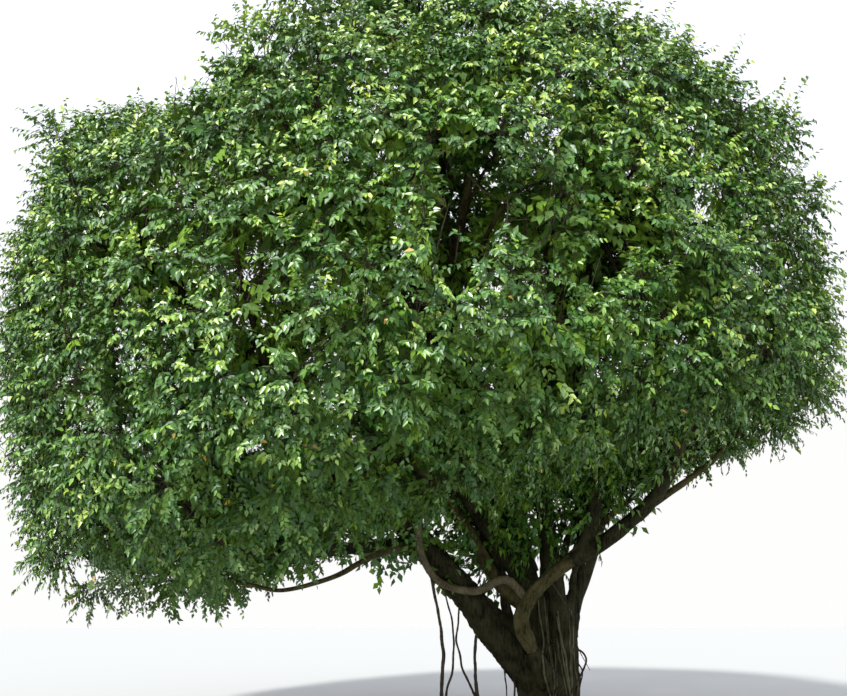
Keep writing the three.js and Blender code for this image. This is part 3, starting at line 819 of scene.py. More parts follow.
frontLine, frontRadii = between("right_bough", frontLimb["from"], frontLimb["reach"], frontLimb["step"])
footRings = (0, frontLimb["footRings"])
frontRadii = frontRadii * frontLimb["girth"]
frontRadii = frontRadii * np.interp(np.arange(len(frontLine)), footRings, (frontLimb["footGirth"], 1.0))
frontChance = np.random.default_rng(frontLimb["seed"])
frontStrands = strandsOn(frontLine, frontRadii, frontLimb["cords"], frontChance)
frontPiece = fused("front_limb", frontStrands, barks["olive"], frontLimb["voxel"], frontLimb["relief"])
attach(frontPiece, "root")
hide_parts("right_bough")

stemParts = [between(name, reach * stemLook["overlap"], 1.0) for name, reach in stemLook["reach"].items()]
stemParts.append(between("right_bough", frontLimb["reach"] * frontLimb["overlap"], 1.0))
stemPiece = barkTubes("thick_stems", stemParts, stemLook["sides"], barks["dark_and_painted_shade"])
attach(stemPiece, "root")
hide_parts(*stemNames)

boughNames = [name for name in limbs if name.startswith("bough_to")]
boughParts = [between(name, 0, 1.0) for name in boughNames]
boughPiece = barkTubes("boughs", boughParts, stemLook["boughSides"], barks["dark_and_painted_shade"])
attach(boughPiece, "root")
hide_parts(*boughNames)

paleArm = {
    "sides": 14, "step": 0.03, "girth": 0.82,
    "strandFrom": 0.62, "strandPoints": 40, "strandRadii": (0.014, 0.011),
    "strand": [(-1.44, -0.52, 1.9), (-1.49, -0.5, 2.5), (-1.46, -0.45, 2.8)],  # a thin root that climbs away
}
armLine, armRadii = between("pale_arm", 0, 1.0, paleArm["step"])
strandFoot = armLine[int(len(armLine) * paleArm["strandFrom"])]
strandLine = smoothLine([strandFoot, *paleArm["strand"]], paleArm["strandPoints"])
strandRadii = taper(*paleArm["strandRadii"], paleArm["strandPoints"])
armParts = [(armLine, armRadii * paleArm["girth"]), (strandLine, strandRadii)]
armPiece = barkTubes("pale_arm_bark", armParts, paleArm["sides"], barks["pale"])
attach(armPiece, "root")
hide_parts("pale_arm")
print("limbs made")

# The thin cords that run down the trunk, and the aerial roots

trunkCords = {
    "seed": 21, "count": 78, "sides": 5, "radii": (0.006, 0.017), "top": (0.8, 1.75),
    "points": 54, "rings": 34, "taper": 0.6, "scale": 3, "fineScale": 9, "fineSeed": 100,
    "frontShare": 0.65, "frontMiddle": -90, "frontSpread": 130, "frontShift": 0.4,  # in degrees
    "wander": 1.0, "sway": 0.16, "fineSway": 0.05, "lean": -0.08, "outside": 0.6, "sunk": 0.3, "fewest": 8,
}


def swayAlong(shares, scale, seed):
    # smooth noise along a line
    return bumps(np.stack([shares * scale, shares * 0, shares * 0], 1), 1, seed)


def cordAngle(random):
    # more of the cords run down the side that is best seen
    look = trunkCords
    if random.random() < look["frontShare"]:
        spread = look["frontSpread"] * (random.random() - look["frontShift"])
        return math.radians(look["frontMiddle"] + spread)
    return math.tau * random.random()


def laidOn(surface, start, radius):
    # the points at which a cord, drawn outside the trunk, meets its surface
    look = trunkCords
    spots = []
    for p in start:
        inward = Vector((look["lean"] * p[2] - p[0], -p[1], 0)).normalized()
        hit, normal, _, _ = surface.ray_cast(Vector(p), inward)
        if hit is None:
            break
        spots.append(hit + normal * radius * look["sunk"])
    return spots


def cordLines():
    # each cord is drawn round the trunk and laid onto its surface
    look = trunkCords
    random = np.random.default_rng(look["seed"])
    faces = [tuple(face.vertices) for face in trunkPiece.data.polygons]
    surface = BVHTree.FromPolygons([Vector(p) for p in readCorners(trunkPiece.data)], faces)
    t = np.linspace(0, 1, look["points"])
    lines = []
    for k in range(look["count"]):
        angle = cordAngle(random)
        turn = angle + look["wander"] * (random.random() - 0.5) * t
        turn += look["sway"] * swayAlong(t, look["scale"], k)
        turn += look["fineSway"] * swayAlong(t, look["fineScale"], k + look["fineSeed"])
        height = t * mix(*look["top"], random.random())
        start = np.stack([np.cos(turn) * look["outside"] + look["lean"] * height,
                          np.sin(turn) * look["outside"], height], axis=1)
        radius = mix(*look["radii"], random.random() ** 2)
        spots = laidOn(surface, start, radius)
        if len(spots) > look["fewest"]:
            line = np.array(spots)
            line[1:-1] = (line[:-2] + line[1:-1] * 2 + line[2:]) / 4
            girth = taper(radius, radius * look["taper"], look["rings"])
            lines.append((evenly(line, look["rings"]), girth))
    return lines


cordPiece = barkTubes("trunk_cords", cordLines(), trunkCords["sides"], barks["cord"])
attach(cordPiece, "root")

hangingRoots = [
    # from which limb, where on it, foot, sway, radii: some roots have a second, thinner strand
    ("pale_arm", 0.42, (-1.21, -0.50, 0.0), 0.06, (0.016, 0.022)),
    ("pale_arm", 0.36, (-1.205, -0.49, 0.0), 0.10, (0.010, 0.014)),
    ("left_bough", 0.2, (-0.87, -0.13, 0.0), -0.04, (0.016, 0.022)),
    ("left_bough", 0.25, (-0.865, -0.14, 0.0), -0.10, (0.010, 0.015)),
    ("left_bough", 0.15, (-0.52, -0.09, 0.33), 0.045, (0.014, 0.006)),
    ("right_bough", 0.4, (0.33, -0.38, 0.76), 0.05, (0.010, 0.004)),
    ("back_bough", 0.3, (0.15, 0.9, 0.0), 0.05, (0.018, 0.022)),
]
rootLoops = [
    # loops that leave the trunk's side and come back to it
    ([(0.20, -0.22, 0.98), (0.285, -0.26, 0.93), (0.315, -0.27, 0.86), (0.285, -0.27, 0.77),
      (0.215, -0.25, 0.64), (0.14, -0.20, 0.50)], (0.013, 0.010)),
    ([(0.22, -0.22, 0.84), (0.27, -0.25, 0.74), (0.24, -0.25, 0.60), (0.20, -0.24, 0.42)], (0.009, 0.007)),
    ([(-0.52, -0.12, 0.95), (-0.57, -0.15, 0.84), (-0.50, -0.16, 0.76), (-0.46, -0.15, 0.62),
      (-0.47, -0.14, 0.36), (-0.44, -0.12, 0.06)], (0.014, 0.010)),
    ([(-0.60, -0.10, 1.06), (-0.63, -0.12, 0.90), (-0.55, -0.14, 0.80), (-0.42, -0.16, 0.78)],
     (0.010, 0.008)),
]
rootLook = {
    "swayAt": 0.4, "returnAt": 0.8, "back": 0.4, "otherSeed": 20,
    "sides": 8, "points": 70, "loopPoints": 40,
    "wobble": 0.03, "wobbleScale": 5.0, "lumps": 0.25, "lumpScale": 22.0,
}


def hangingLine(start, foot, sway):
    # it sways one way high up, and less the other way near its foot
    look = rootLook
    side = point(sway, sway * look["back"], 0)
    high = mix(start, foot, look["swayAt"]) + side
    low = mix(start, foot, look["returnAt"]) - side * look["back"]
    return smoothLine([start, high, low, foot], look["points"])


def rootLines():
    look = rootLook
    count = look["points"]
    loopCount = look["loopPoints"]
    lines = [(smoothLine(corners, loopCount), taper(*radii, loopCount)) for corners, radii in rootLoops]
    ends = np.sin(np.linspace(0, math.pi, count))[:, None]
    for k, (source, at, foot, sway, radii) in enumerate(hangingRoots):
        line = hangingLine(lineAt(source, at), point(*foot), sway)
        heights = line * (0, 0, 1)
        sideways = [bumps(heights, look["wobbleScale"], seed) for seed in (k, k + look["otherSeed"])]
        line = line + np.stack([*sideways, np.zeros(count)], axis=1) * look["wobble"] * ends
        girth = taper(*radii, count) * (1 + look["lumps"] * bumps(line, look["lumpScale"], k))
        lines.append((line, girth))
    return lines


rootPiece = barkTubes("hanging_roots", rootLines(), rootLook["sides"], barks["root"])
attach(rootPiece, "root")
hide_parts(*[f"aerial_root_{k}" for k in range(1, 6)])

innerLimbs = [
    # from which limb, where on it, the points it passes, its radii
    ("bough_to_shoulder_1", 0.36,
     [(-1.13, -1.3, 5.12), (-1.05, -1.95, 5.35), (-0.99, -2.15, 5.75), (-1.0, -2.2, 6.2)], (0.092, 0.028)),
    ("bough_to_shoulder_1", 0.62,
     [(-1.16, -1.9, 5.75), (-1.33, -2.2, 6.15), (-1.5, -2.35, 6.5)], (0.034, 0.012)),
    ("bough_to_shoulder_1", 0.45,
     [(-1.08, -1.75, 5.33), (-0.86, -2.2, 5.68), (-0.66, -2.25, 6.0), (-0.5, -2.3, 6.3)], (0.034, 0.012)),
    ("bough_to_shoulder_1", 0.4,
     [(-1.15, -1.5, 5.1), (-1.27, -2.1, 5.4), (-1.45, -2.3, 5.75)], (0.028, 0.010)),
    ("bough_to_shoulder_1", 0.3,
     [(-0.92, -1.7, 4.92), (-0.78, -2.5, 5.02), (-0.6, -2.6, 5.26), (-0.44, -2.6, 5.37),
      (-0.21, -2.6, 5.45), (0.05, -2.62, 5.7)], (0.040, 0.016)),
    ("bough_to_belt_2", 0.75,
     [(-0.13, -1.95, 4.55), (-0.21, -2.0, 4.9), (-0.05, -2.0, 5.31), (0.05, -2.1, 5.6)], (0.036, 0.014)),
    ("bough_to_belt_2", 0.88,
     [(0.13, -2.2, 4.58), (0.3, -2.2, 4.72), (0.45, -2.2, 4.97), (0.53, -2.2, 5.29), (0.58, -2.3, 5.55)],
     (0.036, 0.012)),
    ("bough_to_belt_2", 0.9, [(0.25, -2.2, 4.62), (0.42, -2.25, 4.72), (0.62, -2.3, 4.9)], (0.024, 0.010)),
    ("left_bough", 0.75,
     [(-3.27, -1.5, 4.35), (-3.36, -2.0, 4.9), (-3.38, -2.1, 5.4), (-3.4, -2.2, 5.8)], (0.040, 0.014)),
    ("left_bough", 0.8,
     [(-3.2, -1.6, 4.5), (-3.1, -2.0, 4.85), (-3.17, -2.1, 5.3), (-3.3, -2.15, 5.6)], (0.032, 0.012)),
    ("bough_to_skirt_7", 0.97,
     [(-3.35, -2.05, 2.5), (-3.5, -2.2, 2.98), (-3.72, -2.25, 3.34), (-4.05, -2.3, 3.7)], (0.034, 0.012)),
    ("leader", 0.13,
     [(-0.6, -0.15, 1.66), (-0.91, -0.3, 2.17), (-1.19, -0.4, 2.56), (-1.5, -0.5, 2.88), (-1.9, -0.8, 3.3)],
     (0.098, 0.036)),
    ("left_bough", 0.36,
     [(-1.92, -0.75, 1.97), (-2.42, -1.1, 1.7), (-2.72, -1.25, 1.61), (-3.0, -1.4, 1.60), (-3.3, -1.5, 1.68)],
     (0.042, 0.018)),
    ("right_bough", 0.36,
     [(0.29, -0.42, 2.07), (0.97, -0.45, 2.67), (1.35, -0.5, 2.93), (1.85, -0.7, 3.5)], (0.052, 0.022)),
    ("right_bough", 0.56,
     [(0.95, -0.62, 2.42), (1.44, -0.8, 2.77), (1.75, -0.95, 3.0), (2.1, -1.2, 3.5)], (0.058, 0.022)),
    ("right_stem", 0.5, [(0.95, 0.0, 3.0), (1.35, -0.1, 3.35), (1.9, -0.3, 3.9)], (0.045, 0.020)),
]
innerLook = {"sides": 9, "points": 48, "wobble": 0.03, "wobbleScale": 2.5}


def innerLimbLines():
    count = innerLook["points"]
    grownIn = np.linspace(0, 1, count)[:, None]
    lines = []
    for source, at, corners, radii in innerLimbs:
        line = smoothLine([lineAt(source, at), *corners], count)
        wobble = np.stack([bumps(line, innerLook["wobbleScale"], k) for k in range(3)], axis=1)
        lines.append((line + wobble * innerLook["wobble"] * grownIn, taper(*radii, count)))
    return lines


innerLines = innerLimbLines()
innerPiece = barkTubes("inner_limbs", innerLines, innerLook["sides"], barks["olive"])
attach(innerPiece, "root")
print("cords, roots and inner limbs made")

# Foliage

viewpoint = {
    "place": (-1.455, -10.6, 1.6), "pitch": 15, "level": 90, "focalPixels": 900, "widthPixels": 847,
    "sensorWidth": 36, "farthest": 200,
}
foliage = {
    "seed": 3,
    "sprays": 20, "sprayLength": (0.25, 0.42), "droop": (0.03, 0.14),
    "stalkRadii": (0.0032, 0.0014), "stalkSides": 3,
    "leaves": 14, "plainLeaves": 9, "leafLength": (0.058, 0.083), "leafWidth": 0.56,
    "innerSprays": 7200, "innerLeaves": 10, "innerLength": (0.120, 0.170),
    "twigSprays": 7000, "limbSprays": 3400, "middleLeaves": 10, "middleLength": (0.095, 0.135),
    "innerReach": 0.80, "middleReach": 0.93,  # shares of the crown that hidden sprays keep within
    "turnedShare": 0.0012,
    "farLeft": -6.44, "highest": 8.40,  # how far a spray's end may reach
}
# where the crown bulges or sinks between its main forms: direction, width in degrees, share of the reach
reliefs = [
    (heading(-33, 27), 7, -0.075),
    (heading(-70, 48), 11, -0.04),
    (heading(-29, 43), 9, 0.11),
    (heading(-60, 27), 8, 0.03),
    (heading(45, 38), 12, 0.02),
    (heading(-87, -36), 13, 0.085),
    (heading(-85, -8), 13, -0.05),
    (heading(-36, -16), 9, -0.035),
    (heading(-44, -31), 10, 0.045),
    (heading(82, -5), 14, 0.035),
    (heading(70, 22), 12, 0.02),
]
# thin places in the front, through which limbs show: where, how wide, and the share of sprays left out
hollows = [
    ((-0.55, -4.0, 4.40), 0.45, 0.45),
    ((-1.15, -4.0, 4.50), 0.36, 0.40),
    ((0.15, -3.8, 4.70), 0.36, 0.35),
    ((-3.00, -3.4, 4.70), 0.34, 0.45),
    ((-3.50, -3.0, 3.15), 0.30, 0.35),
    ((-0.38, -4.0, 3.35), 0.34, 0.30),
    ((1.60, -3.2, 4.50), 0.30, 0.30),
    ((-1.05, -3.2, 2.15), 0.50, 0.90),
    ((-0.35, -3.2, 2.15), 0.50, 0.80),
    ((0.35, -3.1, 2.35), 0.45, 0.70),
    ((0.95, -2.9, 2.65), 0.45, 0.60),
]
openShare = {"width": 0.4, "depth": 1.3, "edge": 1.6, "fall": 1.1}  # how openings and hollows fade out
random = np.random.default_rng(foliage["seed"])
goldenAngle = math.pi * (3 - math.sqrt(5))


def spiralDirections(count):
    k = np.arange(count) + 0.5
    z = 1 - 2 * k / count
    flat = np.sqrt(1 - z * z)
    return np.stack([flat * np.cos(k * goldenAngle), flat * np.sin(k * goldenAngle), z], axis=1)


def uniform(bounds, count):
    return mix(*bounds, random.random(count))


def inOpening(points):
    hit = np.zeros(len(points), bool)
    for opening in openings:
        offset = points - opening["mouth"]
        beside = np.linalg.norm(np.cross(offset, opening["along"]), axis=1)
        isNear = np.abs(offset @ opening["along"]) < openShare["depth"]
        hit |= isNear & (beside < opening["radius"] * openShare["width"])
    return hit


def hollowAt(points):
    # how thin the foliage is at each point, from 0 to 1
    thin = np.zeros(len(points))
    for place, radius, share in hollows:
        far = np.linalg.norm(points - point(*place), axis=1) / radius
        thin = np.maximum(thin, share * np.clip(openShare["edge"] - openShare["fall"] * far, 0, 1))
    return thin


def spaced(points, gap):
    # keep points, in a random order, that lie at least a gap from those already kept
    kept = np.zeros((0, 3))
    chosen = []
    for k in random.permutation(len(points)):
        if len(kept) == 0 or np.min(((kept - points[k]) ** 2).sum(axis=1)) > gap * gap:
            kept = np.vstack([kept, points[k]])
            chosen.append(k)
    return np.array(sorted(chosen))


def surfaceNormals(directions, step=0.02, nearlyUp=(0.02, 0.01, 1.0)):
    east = unit(np.cross(directions, nearlyUp))
    north = np.cross(directions, east)
    ones = np.ones(len(directions))
    ahead, aside = (
        domePoint(unit(directions + way * step), ones) - domePoint(unit(directions - way * step), ones)
        for way in (east, north)
    )
    normals = unit(np.cross(ahead, aside))
    return normals * np.sign(dot(normals, directions))


def reliefAt(directions):
    # the crown's bulges and dips as shares of its reach
    change = np.zeros(len(directions))
    for middle, width, amount in reliefs:
        angle = np.degrees(np.arccos(np.clip(directions @ middle, -1, 1)))
        change += amount * np.exp(-((angle / width) ** 2))
    return change


clusterLook = {
    "tries": 7000, "share": 0.955, "stray": 0.045, "hollowDepth": 0.30,
    "lumps": (0.032, 2.6, 4), "knobs": (0.040, 6.0, 7),  # height as a share of the reach, scale and seed
    "depth": 0.30,  # from a cluster's middle in to the foot of its sprays
    "twigPoints": 5, "twigRadii": (0.009, 0.0042), "twigSides": 4, "twigBend": 0.45,
    "ahead": 0.35, "firstPoint": 4,
}


def clusterPlaces():
    look = clusterLook
    directions = spiralDirections(look["tries"])
    directions = directions[directions[:, 2] > math.sin(math.radians(crown["lowest"]))]
    surface = domePoint(directions, np.ones(len(directions)))
    directions = directions[spaced(surface, crown["spacing"])]
    lump, knob = (size * bumps(directions, scale, seed)
                  for size, scale, seed in (look["lumps"], look["knobs"]))
    stray = look["stray"] * (random.random(len(directions)) - 0.5)
    centres = domePoint(directions, look["share"] + (lump + knob) + reliefAt(directions) + stray)
    normals = surfaceNormals(directions)
    centres = centres - normals * (look["hollowDepth"] * hollowAt(centres))[:, None]
    return directions, centres, normals


places = clusterPlaces()
isClear = ~inOpening(places[1])
clusterDirections, clusterCentres, clusterNormals = (x[isClear] for x in places)
clusterMass = np.argmax(clusterDirections @ axes.T, axis=1)
print("clusters", len(clusterCentres))

subBoughLook = {
    "count": 9, "sides": 5, "points": 13, "radii": (0.030, 0.011), "girthVary": (0.8, 0.4),
    "bearing": 0.6, "spread": 0.78, "reach": 0.87, "bend": 0.35, "lift": 0.06, "arrive": 0.3, "sunk": 0.02,
    "wobble": 0.07, "wobbleScale": 1.9,
}


def wobbled(line, seed):
    # the line with a soft waver that leaves its ends in place
    look = subBoughLook
    wobble = np.stack([bumps(line, look["wobbleScale"], seed + 3 * k) for k in range(3)], axis=1)
    return line + wobble * look["wobble"] * np.sin(np.linspace(0, math.pi, len(line)))[:, None]


def subBoughsOf(index):
    # the source's twigs: a golden-angle spiral over the mass's own part of the dome
    look, mass = subBoughLook, masses[index]
    limb = limbs[mass["limb"]]["line"]
    tip, along = limb[-1], unit(limb[-1] - limb[-4])
    mine = clusterDirections[clusterMass == index]
    wide = np.arccos(np.clip(mine @ mass["axis"], -1, 1)).max()
    level = point(1, 0, 0) if abs(mass["axis"][2]) > steep else point(0, 0, 1)
    first = unit(np.cross(level, mass["axis"]))
    second = np.cross(mass["axis"], first)
    lines = []
    for i in range(look["count"]):
        bearing = i * goldenAngle + look["bearing"] * random.random()
        angle = wide * look["spread"] * math.sqrt((i + 0.5) / look["count"])
        side = first * math.cos(bearing) + second * math.sin(bearing)
        direction = mass["axis"] * math.cos(angle) + side * math.sin(angle)
        end = domePoint(direction, np.array([look["reach"]]))[0]
        reach = np.linalg.norm(end - tip)
        bend = tip + along * reach * look["bend"] + point(0, 0, look["lift"] * reach)
        late = end - direction * reach * look["arrive"]
        line = bezier((tip - along * look["sunk"], bend, late, end), look["points"])
        lines.append(wobbled(line, i + index))
    return lines


subParts = [subBoughsOf(index) for index in range(len(masses))]
subLines = np.array([line for lines in subParts for line in lines])
subMass = np.repeat(np.arange(len(masses)), [len(lines) for lines in subParts])
subRadii = np.array([taper(*subBoughLook["radii"], subLines.shape[1])] * len(subLines))
subRadii *= vary(random, *subBoughLook["girthVary"], len(subLines))[:, None]


def clusterTwigs():
    # each cluster's twig leaves the nearest sub-bough of its own mass
    look = clusterLook
    bases = clusterCentres - clusterNormals * look["depth"]
    starts, tangents = np.zeros_like(bases), np.zeros_like(bases)
    for index in range(len(masses)):
        lines = subLines[subMass == index][:, look["firstPoint"]:]
        spots = lines.reshape(-1, 3)
        ways = unit(np.gradient(lines, axis=1)).reshape(-1, 3)
        for k in np.where(clusterMass == index)[0]:
            # the point that the base lies ahead of, along the sub-bough
            offset = bases[k] - spots
            far = np.linalg.norm(offset, axis=1)
            cost = far * (1 + look["ahead"] - look["ahead"] * (unit(offset) * ways).sum(axis=1))
            best = int(np.argmin(cost))
            starts[k], tangents[k] = spots[best], ways[best]
    reach = np.linalg.norm(bases - starts, axis=1)[:, None]
    t = np.linspace(0, 1, look["twigPoints"])[None, :, None]
    bend = (starts + tangents * reach * look["twigBend"])[:, None]
    paths = starts[:, None] * (1 - t) ** 2 + 2 * bend * t * (1 - t) + bases[:, None] * t**2
    return bases, paths, repeated(np.linspace(*look["twigRadii"], look["twigPoints"]), len(paths))


clusterBases, twigPaths, twigRadii = clusterTwigs()

fanLook = {
    "reach": 1.08,  # how far the fan goes round: 1 is a half-sphere
    "lift": 0.30, "leadStray": 0.25, "stray": 0.45, "gap": 0.015, "sizeVary": (0.85, 0.35),
}


def domeSprays():
    # sprays that fan out from each cluster's base, a little beyond the half-sphere
    look = fanLook
    count = foliage["sprays"]
    k = np.arange(count) + 0.5
    rise = 1 - look["reach"] * k / count
    flat = np.sqrt(np.maximum(1 - rise * rise, 0))
    stray = look["leadStray"] * random.normal(size=clusterNormals.shape)
    lead = unit(clusterNormals + point(0, 0, look["lift"]) + stray)
    across, other = crossways(lead)
    spin = random.random(len(lead))[:, None] * 2 * math.pi + k[None] * goldenAngle
    ways = (
        lead[:, None] * rise[None, :, None]
        + across[:, None] * (flat[None] * np.cos(spin))[:, :, None]
        + other[:, None] * (flat[None] * np.sin(spin))[:, :, None]
    )
    ways = unit(ways + look["stray"] * (random.random(ways.shape) - 0.5))
    starts = clusterBases[:, None] + ways * look["gap"]
    outward = np.repeat(clusterNormals, count, axis=0)
    owner = np.repeat(clusterMass, count)
    sizes = np.repeat(vary(random, *look["sizeVary"], len(lead)), count)
    lengths = uniform(foliage["sprayLength"], sizes.size) * sizes
    return starts.reshape(-1, 3), ways.reshape(-1, 3), outward, owner, lengths


# how far hidden sprays point outwards, and how much longer the inner ones may be
hiddenLook = {"innerOut": 0.3, "innerLonger": 0.7, "twigOut": 0.1}


def innerSprays():
    # thinner sprays on the sub-boughs inside the shell: olive leaves low down, and higher up a lighter kind
    # that is painted light
    count = foliage["innerSprays"]
    picks = random.integers(0, len(subLines), count)
    spots = random.integers(3, subLines.shape[1] - 1, count)
    share = random.random(count)[:, None]
    starts = mix(subLines[picks, spots], subLines[picks, spots + 1], share)
    outward = unit(starts - crown["middle"])
    ways = unit(outward * hiddenLook["innerOut"] + random.normal(size=starts.shape))
    lengths = (1 + hiddenLook["innerLonger"] * share[:, 0]) * uniform(foliage["sprayLength"], len(starts))
    return starts, ways, outward, subMass[picks], lengths


def twigSprays():
    # sprays behind the shell, on the clusters' own twigs, dealt darker kinds as painted shade
    picks = random.integers(0, len(twigPaths), foliage["twigSprays"])
    share = random.random(len(picks))[:, None]
    starts = mix(twigPaths[picks, 1], twigPaths[picks, 4], share)
    outward = clusterNormals[picks]
    ways = unit(outward * hiddenLook["twigOut"] + random.normal(size=starts.shape))
    return starts, ways, outward, clusterMass[picks], uniform(foliage["sprayLength"], len(starts))


shootLook = {
    "lowest": 2.05, "slope": 0.6,  # shoots begin at this height, and higher towards the right
    "leftFork": (-0.9, 0.45), "leftDrop": 0.25,  # but lower over the left bough: middle, half width
    "length": 1.2, "boughEnd": 50, "flatness": 0.5,
}


def limbSprays():
    # shoots on the stems and boughs, from over the fork upwards, dealt darker kinds as painted shade
    look = shootLook
    lines = [limb["line"] for name, limb in limbs.items() if name not in ("right_bough", "pale_arm")]
    lines += [line for line, _ in innerLines + sideLines]
    lines += [limbs["right_bough"]["line"][look["boughEnd"]:]] * 2
    spots = np.concatenate(lines)
    middle, halfWidth = look["leftFork"]
    isOverLeftBough = np.abs(spots[:, 0] - middle) < halfWidth
    lowest = look["lowest"] + np.maximum(0, spots[:, 0]) * look["slope"] - look["leftDrop"] * isOverLeftBough
    spots = spots[spots[:, 2] > lowest]
    starts = spots[random.integers(0, len(spots), foliage["limbSprays"])]
    outward = unit(starts - crown["middle"])
    ways = unit(random.normal(size=starts.shape) * (1, 1, look["flatness"]))
    owner = np.argmax(outward @ axes.T, axis=1)
    return starts, ways, outward, owner, look["length"] * uniform(foliage["sprayLength"], len(starts))


sprigLook = {
    "count": 190, "lowest": 0.1, "out": 0.6, "up": 0.75, "stray": 0.35, "lengthVary": (0.48, 0.22),
    "droopShare": 0.4,
}


def sprigSprays():
    # young shoots that stand out of the upper crown
    look = sprigLook
    upper = np.where(clusterDirections[:, 2] > look["lowest"])[0]
    picks = random.permutation(upper)[: look["count"]]
    outward = clusterNormals[picks]
    stray = look["stray"] * random.normal(size=outward.shape)
    ways = unit(outward * look["out"] + point(0, 0, look["up"]) + stray)
    lengths = vary(random, *look["lengthVary"], len(picks))
    return clusterBases[picks], ways, outward, clusterMass[picks], lengths


def shareAt(points):
    # how far out each point lies, as a share of the crown's reach
    offset = points - crown["middle"]
    return np.linalg.norm(offset, axis=1) / crownReach(unit(offset))


# leaves are thinner in front of the inner limbs that show from the front
sightLines = {"limbs": 10, "points": slice(6, 36), "sideStem": 3, "sidePoints": slice(20, None),
              "width": 0.0100, "share": 0.82, "clearance": 0.05}


def onSight(points):
    # directions from the viewpoint, as slopes
    offset = points - point(*viewpoint["place"])
    return offset[:, (0, 2)] / offset[:, 1:2]


def hidesLimb(points):
    look = sightLines
    lines = [line[look["points"]] for line, _ in innerLines[: look["limbs"]]]
    lines.append(sideLines[look["sideStem"]][0][look["sidePoints"]])
    limbSpots = np.concatenate(lines)
    spots, wanted = onSight(points), onSight(limbSpots)
    far, nearest = np.full(len(points), np.inf), np.zeros(len(points), int)
    for k, target in enumerate(wanted):
        gap = np.hypot(*(spots - target).T)
        isNearer = gap < far
        far[isNearer], nearest[isNearer] = gap[isNearer], k
    isInFront = points[:, 1] < limbSpots[nearest, 1] - look["clearance"]
    return isInFront & (far < look["width"]) & (random.random(len(points)) < look["share"])


shellRole, innerRole, sprigRole, middleRole = range(4)
sprayRoles = [shellRole, innerRole, middleRole, middleRole, sprigRole]
sprayParts = [domeSprays(), innerSprays(), twigSprays(), limbSprays(), sprigSprays()]
starts, ways, outward, owners, sprayLengths = (np.concatenate(parts) for parts in zip(*sprayParts))
role = np.repeat(sprayRoles, [len(part[0]) for part in sprayParts])
isHidden = (role == innerRole) | (role == middleRole)
droopShare = np.where(role == sprigRole, sprigLook["droopShare"], 1.0)
sprayDroops = uniform(foliage["droop"], len(starts)) * droopShare
sprayReach = ways * sprayLengths[:, None] + point(0, 0, -1) * sprayDroops[:, None]

forkSpace = {"middle": -0.45, "radius": 1.7, "top": 3.5}  # over the fork, where hidden sprays may show
hollowFloor = 3  # hidden sprays above this height also fill the hollows


def clearSprays():
    # the sprays that keep to the crown, its openings and its sight lines
    ends = starts + sprayReach
    isClear = ~inOpening(ends)
    isClear &= (random.random(len(starts)) > hollowAt(ends)) | (isHidden & (ends[:, 2] > hollowFloor))
    isClear &= (ends[:, 0] > foliage["farLeft"]) & (ends[:, 2] < foliage["highest"])
    share = shareAt(ends)
    isOverFork = np.hypot(ends[:, 0] - forkSpace["middle"], ends[:, 1]) < forkSpace["radius"]
    isOverFork &= ends[:, 2] < forkSpace["top"]
    isClear &= ~((role == innerRole) & (share > foliage["innerReach"]))
    isClear &= ~((role == middleRole) & (share > foliage["middleReach"])) | isOverFork
    return isClear & ~hidesLimb(ends) & ~hidesLimb((starts + ends) / 2)


isClear = clearSprays()
starts, ways, outward, owners = (x[isClear] for x in (starts, ways, outward, owners))
sprayReach, role, isHidden = (x[isClear] for x in (sprayReach, role, isHidden))
print("sprays", len(starts))

# leafless twigs, mostly upright: how far they lean out, point up and stray, their lengths and bends, and how
# far out they may end
bareLook = {
    "count": 1900, "out": 0.45, "up": 0.85, "stray": 0.22, "lengthVary": (0.35, 0.55), "bend": 0.25,
    "within": 0.95, "sides": 3, "radii": (0.0055, 0.0018),
}
shellLook = {
    "count": 1700, "out": 0.35, "up": 0.9, "stray": 0.3, "lengthVary": (0.3, 0.4), "bend": 0.15,
    "within": 0.97, "radii": (0.006, 0.003), "scatter": 0.12,
}


def uprightTwigs(roots, away, look):
    count = len(roots)
    stray = look["stray"] * random.normal(size=roots.shape)
    lead = unit(away * look["out"] + point(0, 0, look["up"]) + stray)
    length = vary(random, *look["lengthVary"], count)[:, None, None]
    t = np.linspace(0, 1, 3)[None, :, None]
    bend = look["bend"] * random.normal(size=(count, 1, 3))
    paths = roots[:, None] + (lead[:, None] * t + bend * t * t) * length
    paths = paths[shareAt(paths[:, -1]) < look["within"]]
    return paths, repeated(np.linspace(*look["radii"], 3), len(paths))


def bareTwigs():
    # inside the crown, on the sub-boughs
    count = bareLook["count"]
    picks = random.integers(0, len(subLines), count)
    spots = random.integers(1, subLines.shape[1] - 4, count)
    roots = subLines[picks, spots]
    return uprightTwigs(roots, unit(roots - crown["middle"]), bareLook)


def shellTwigs():
    # between the rows of leaves, near the clusters' own twigs
    picks = random.integers(0, len(clusterBases), shellLook["count"])
    share = random.random((len(picks), 1))
    scatter = shellLook["scatter"] * random.normal(size=(len(picks), 3))
    roots = mix(twigPaths[picks, 3], twigPaths[picks, 4], share) + scatter
    return uprightTwigs(roots, clusterNormals[picks], shellLook)


kinds = ["inner_painted_light", "olive", "deep", "mid", "bright", "young", "turned"]
youngKind, turnedKind = kinds.index("young"), kinds.index("turned")
# how the sprays' kinds are dealt: painted light and shade, and tone that varies at random
toneAndPaintedLight = {
    "base": 3.26, "shadeByDepth": 3.5, "byPatch": 1.1, "byLuck": 2.2, "lightByRise": 0.7,
    "lightByHeight": 0.19, "lightByRelief": 7, "shellShare": 0.96, "patchScale": 1.1, "patchSeed": 9,
    "paintedLightFrom": 5.2, "paintedLightVary": 1.6,  # inner leaves are olive below about this height, and above it a lighter kind that is painted light from above
    "middleShade": 0.9, "middleMost": 3.3,  # painted shade: the layer behind the shell is dealt darker kinds
}


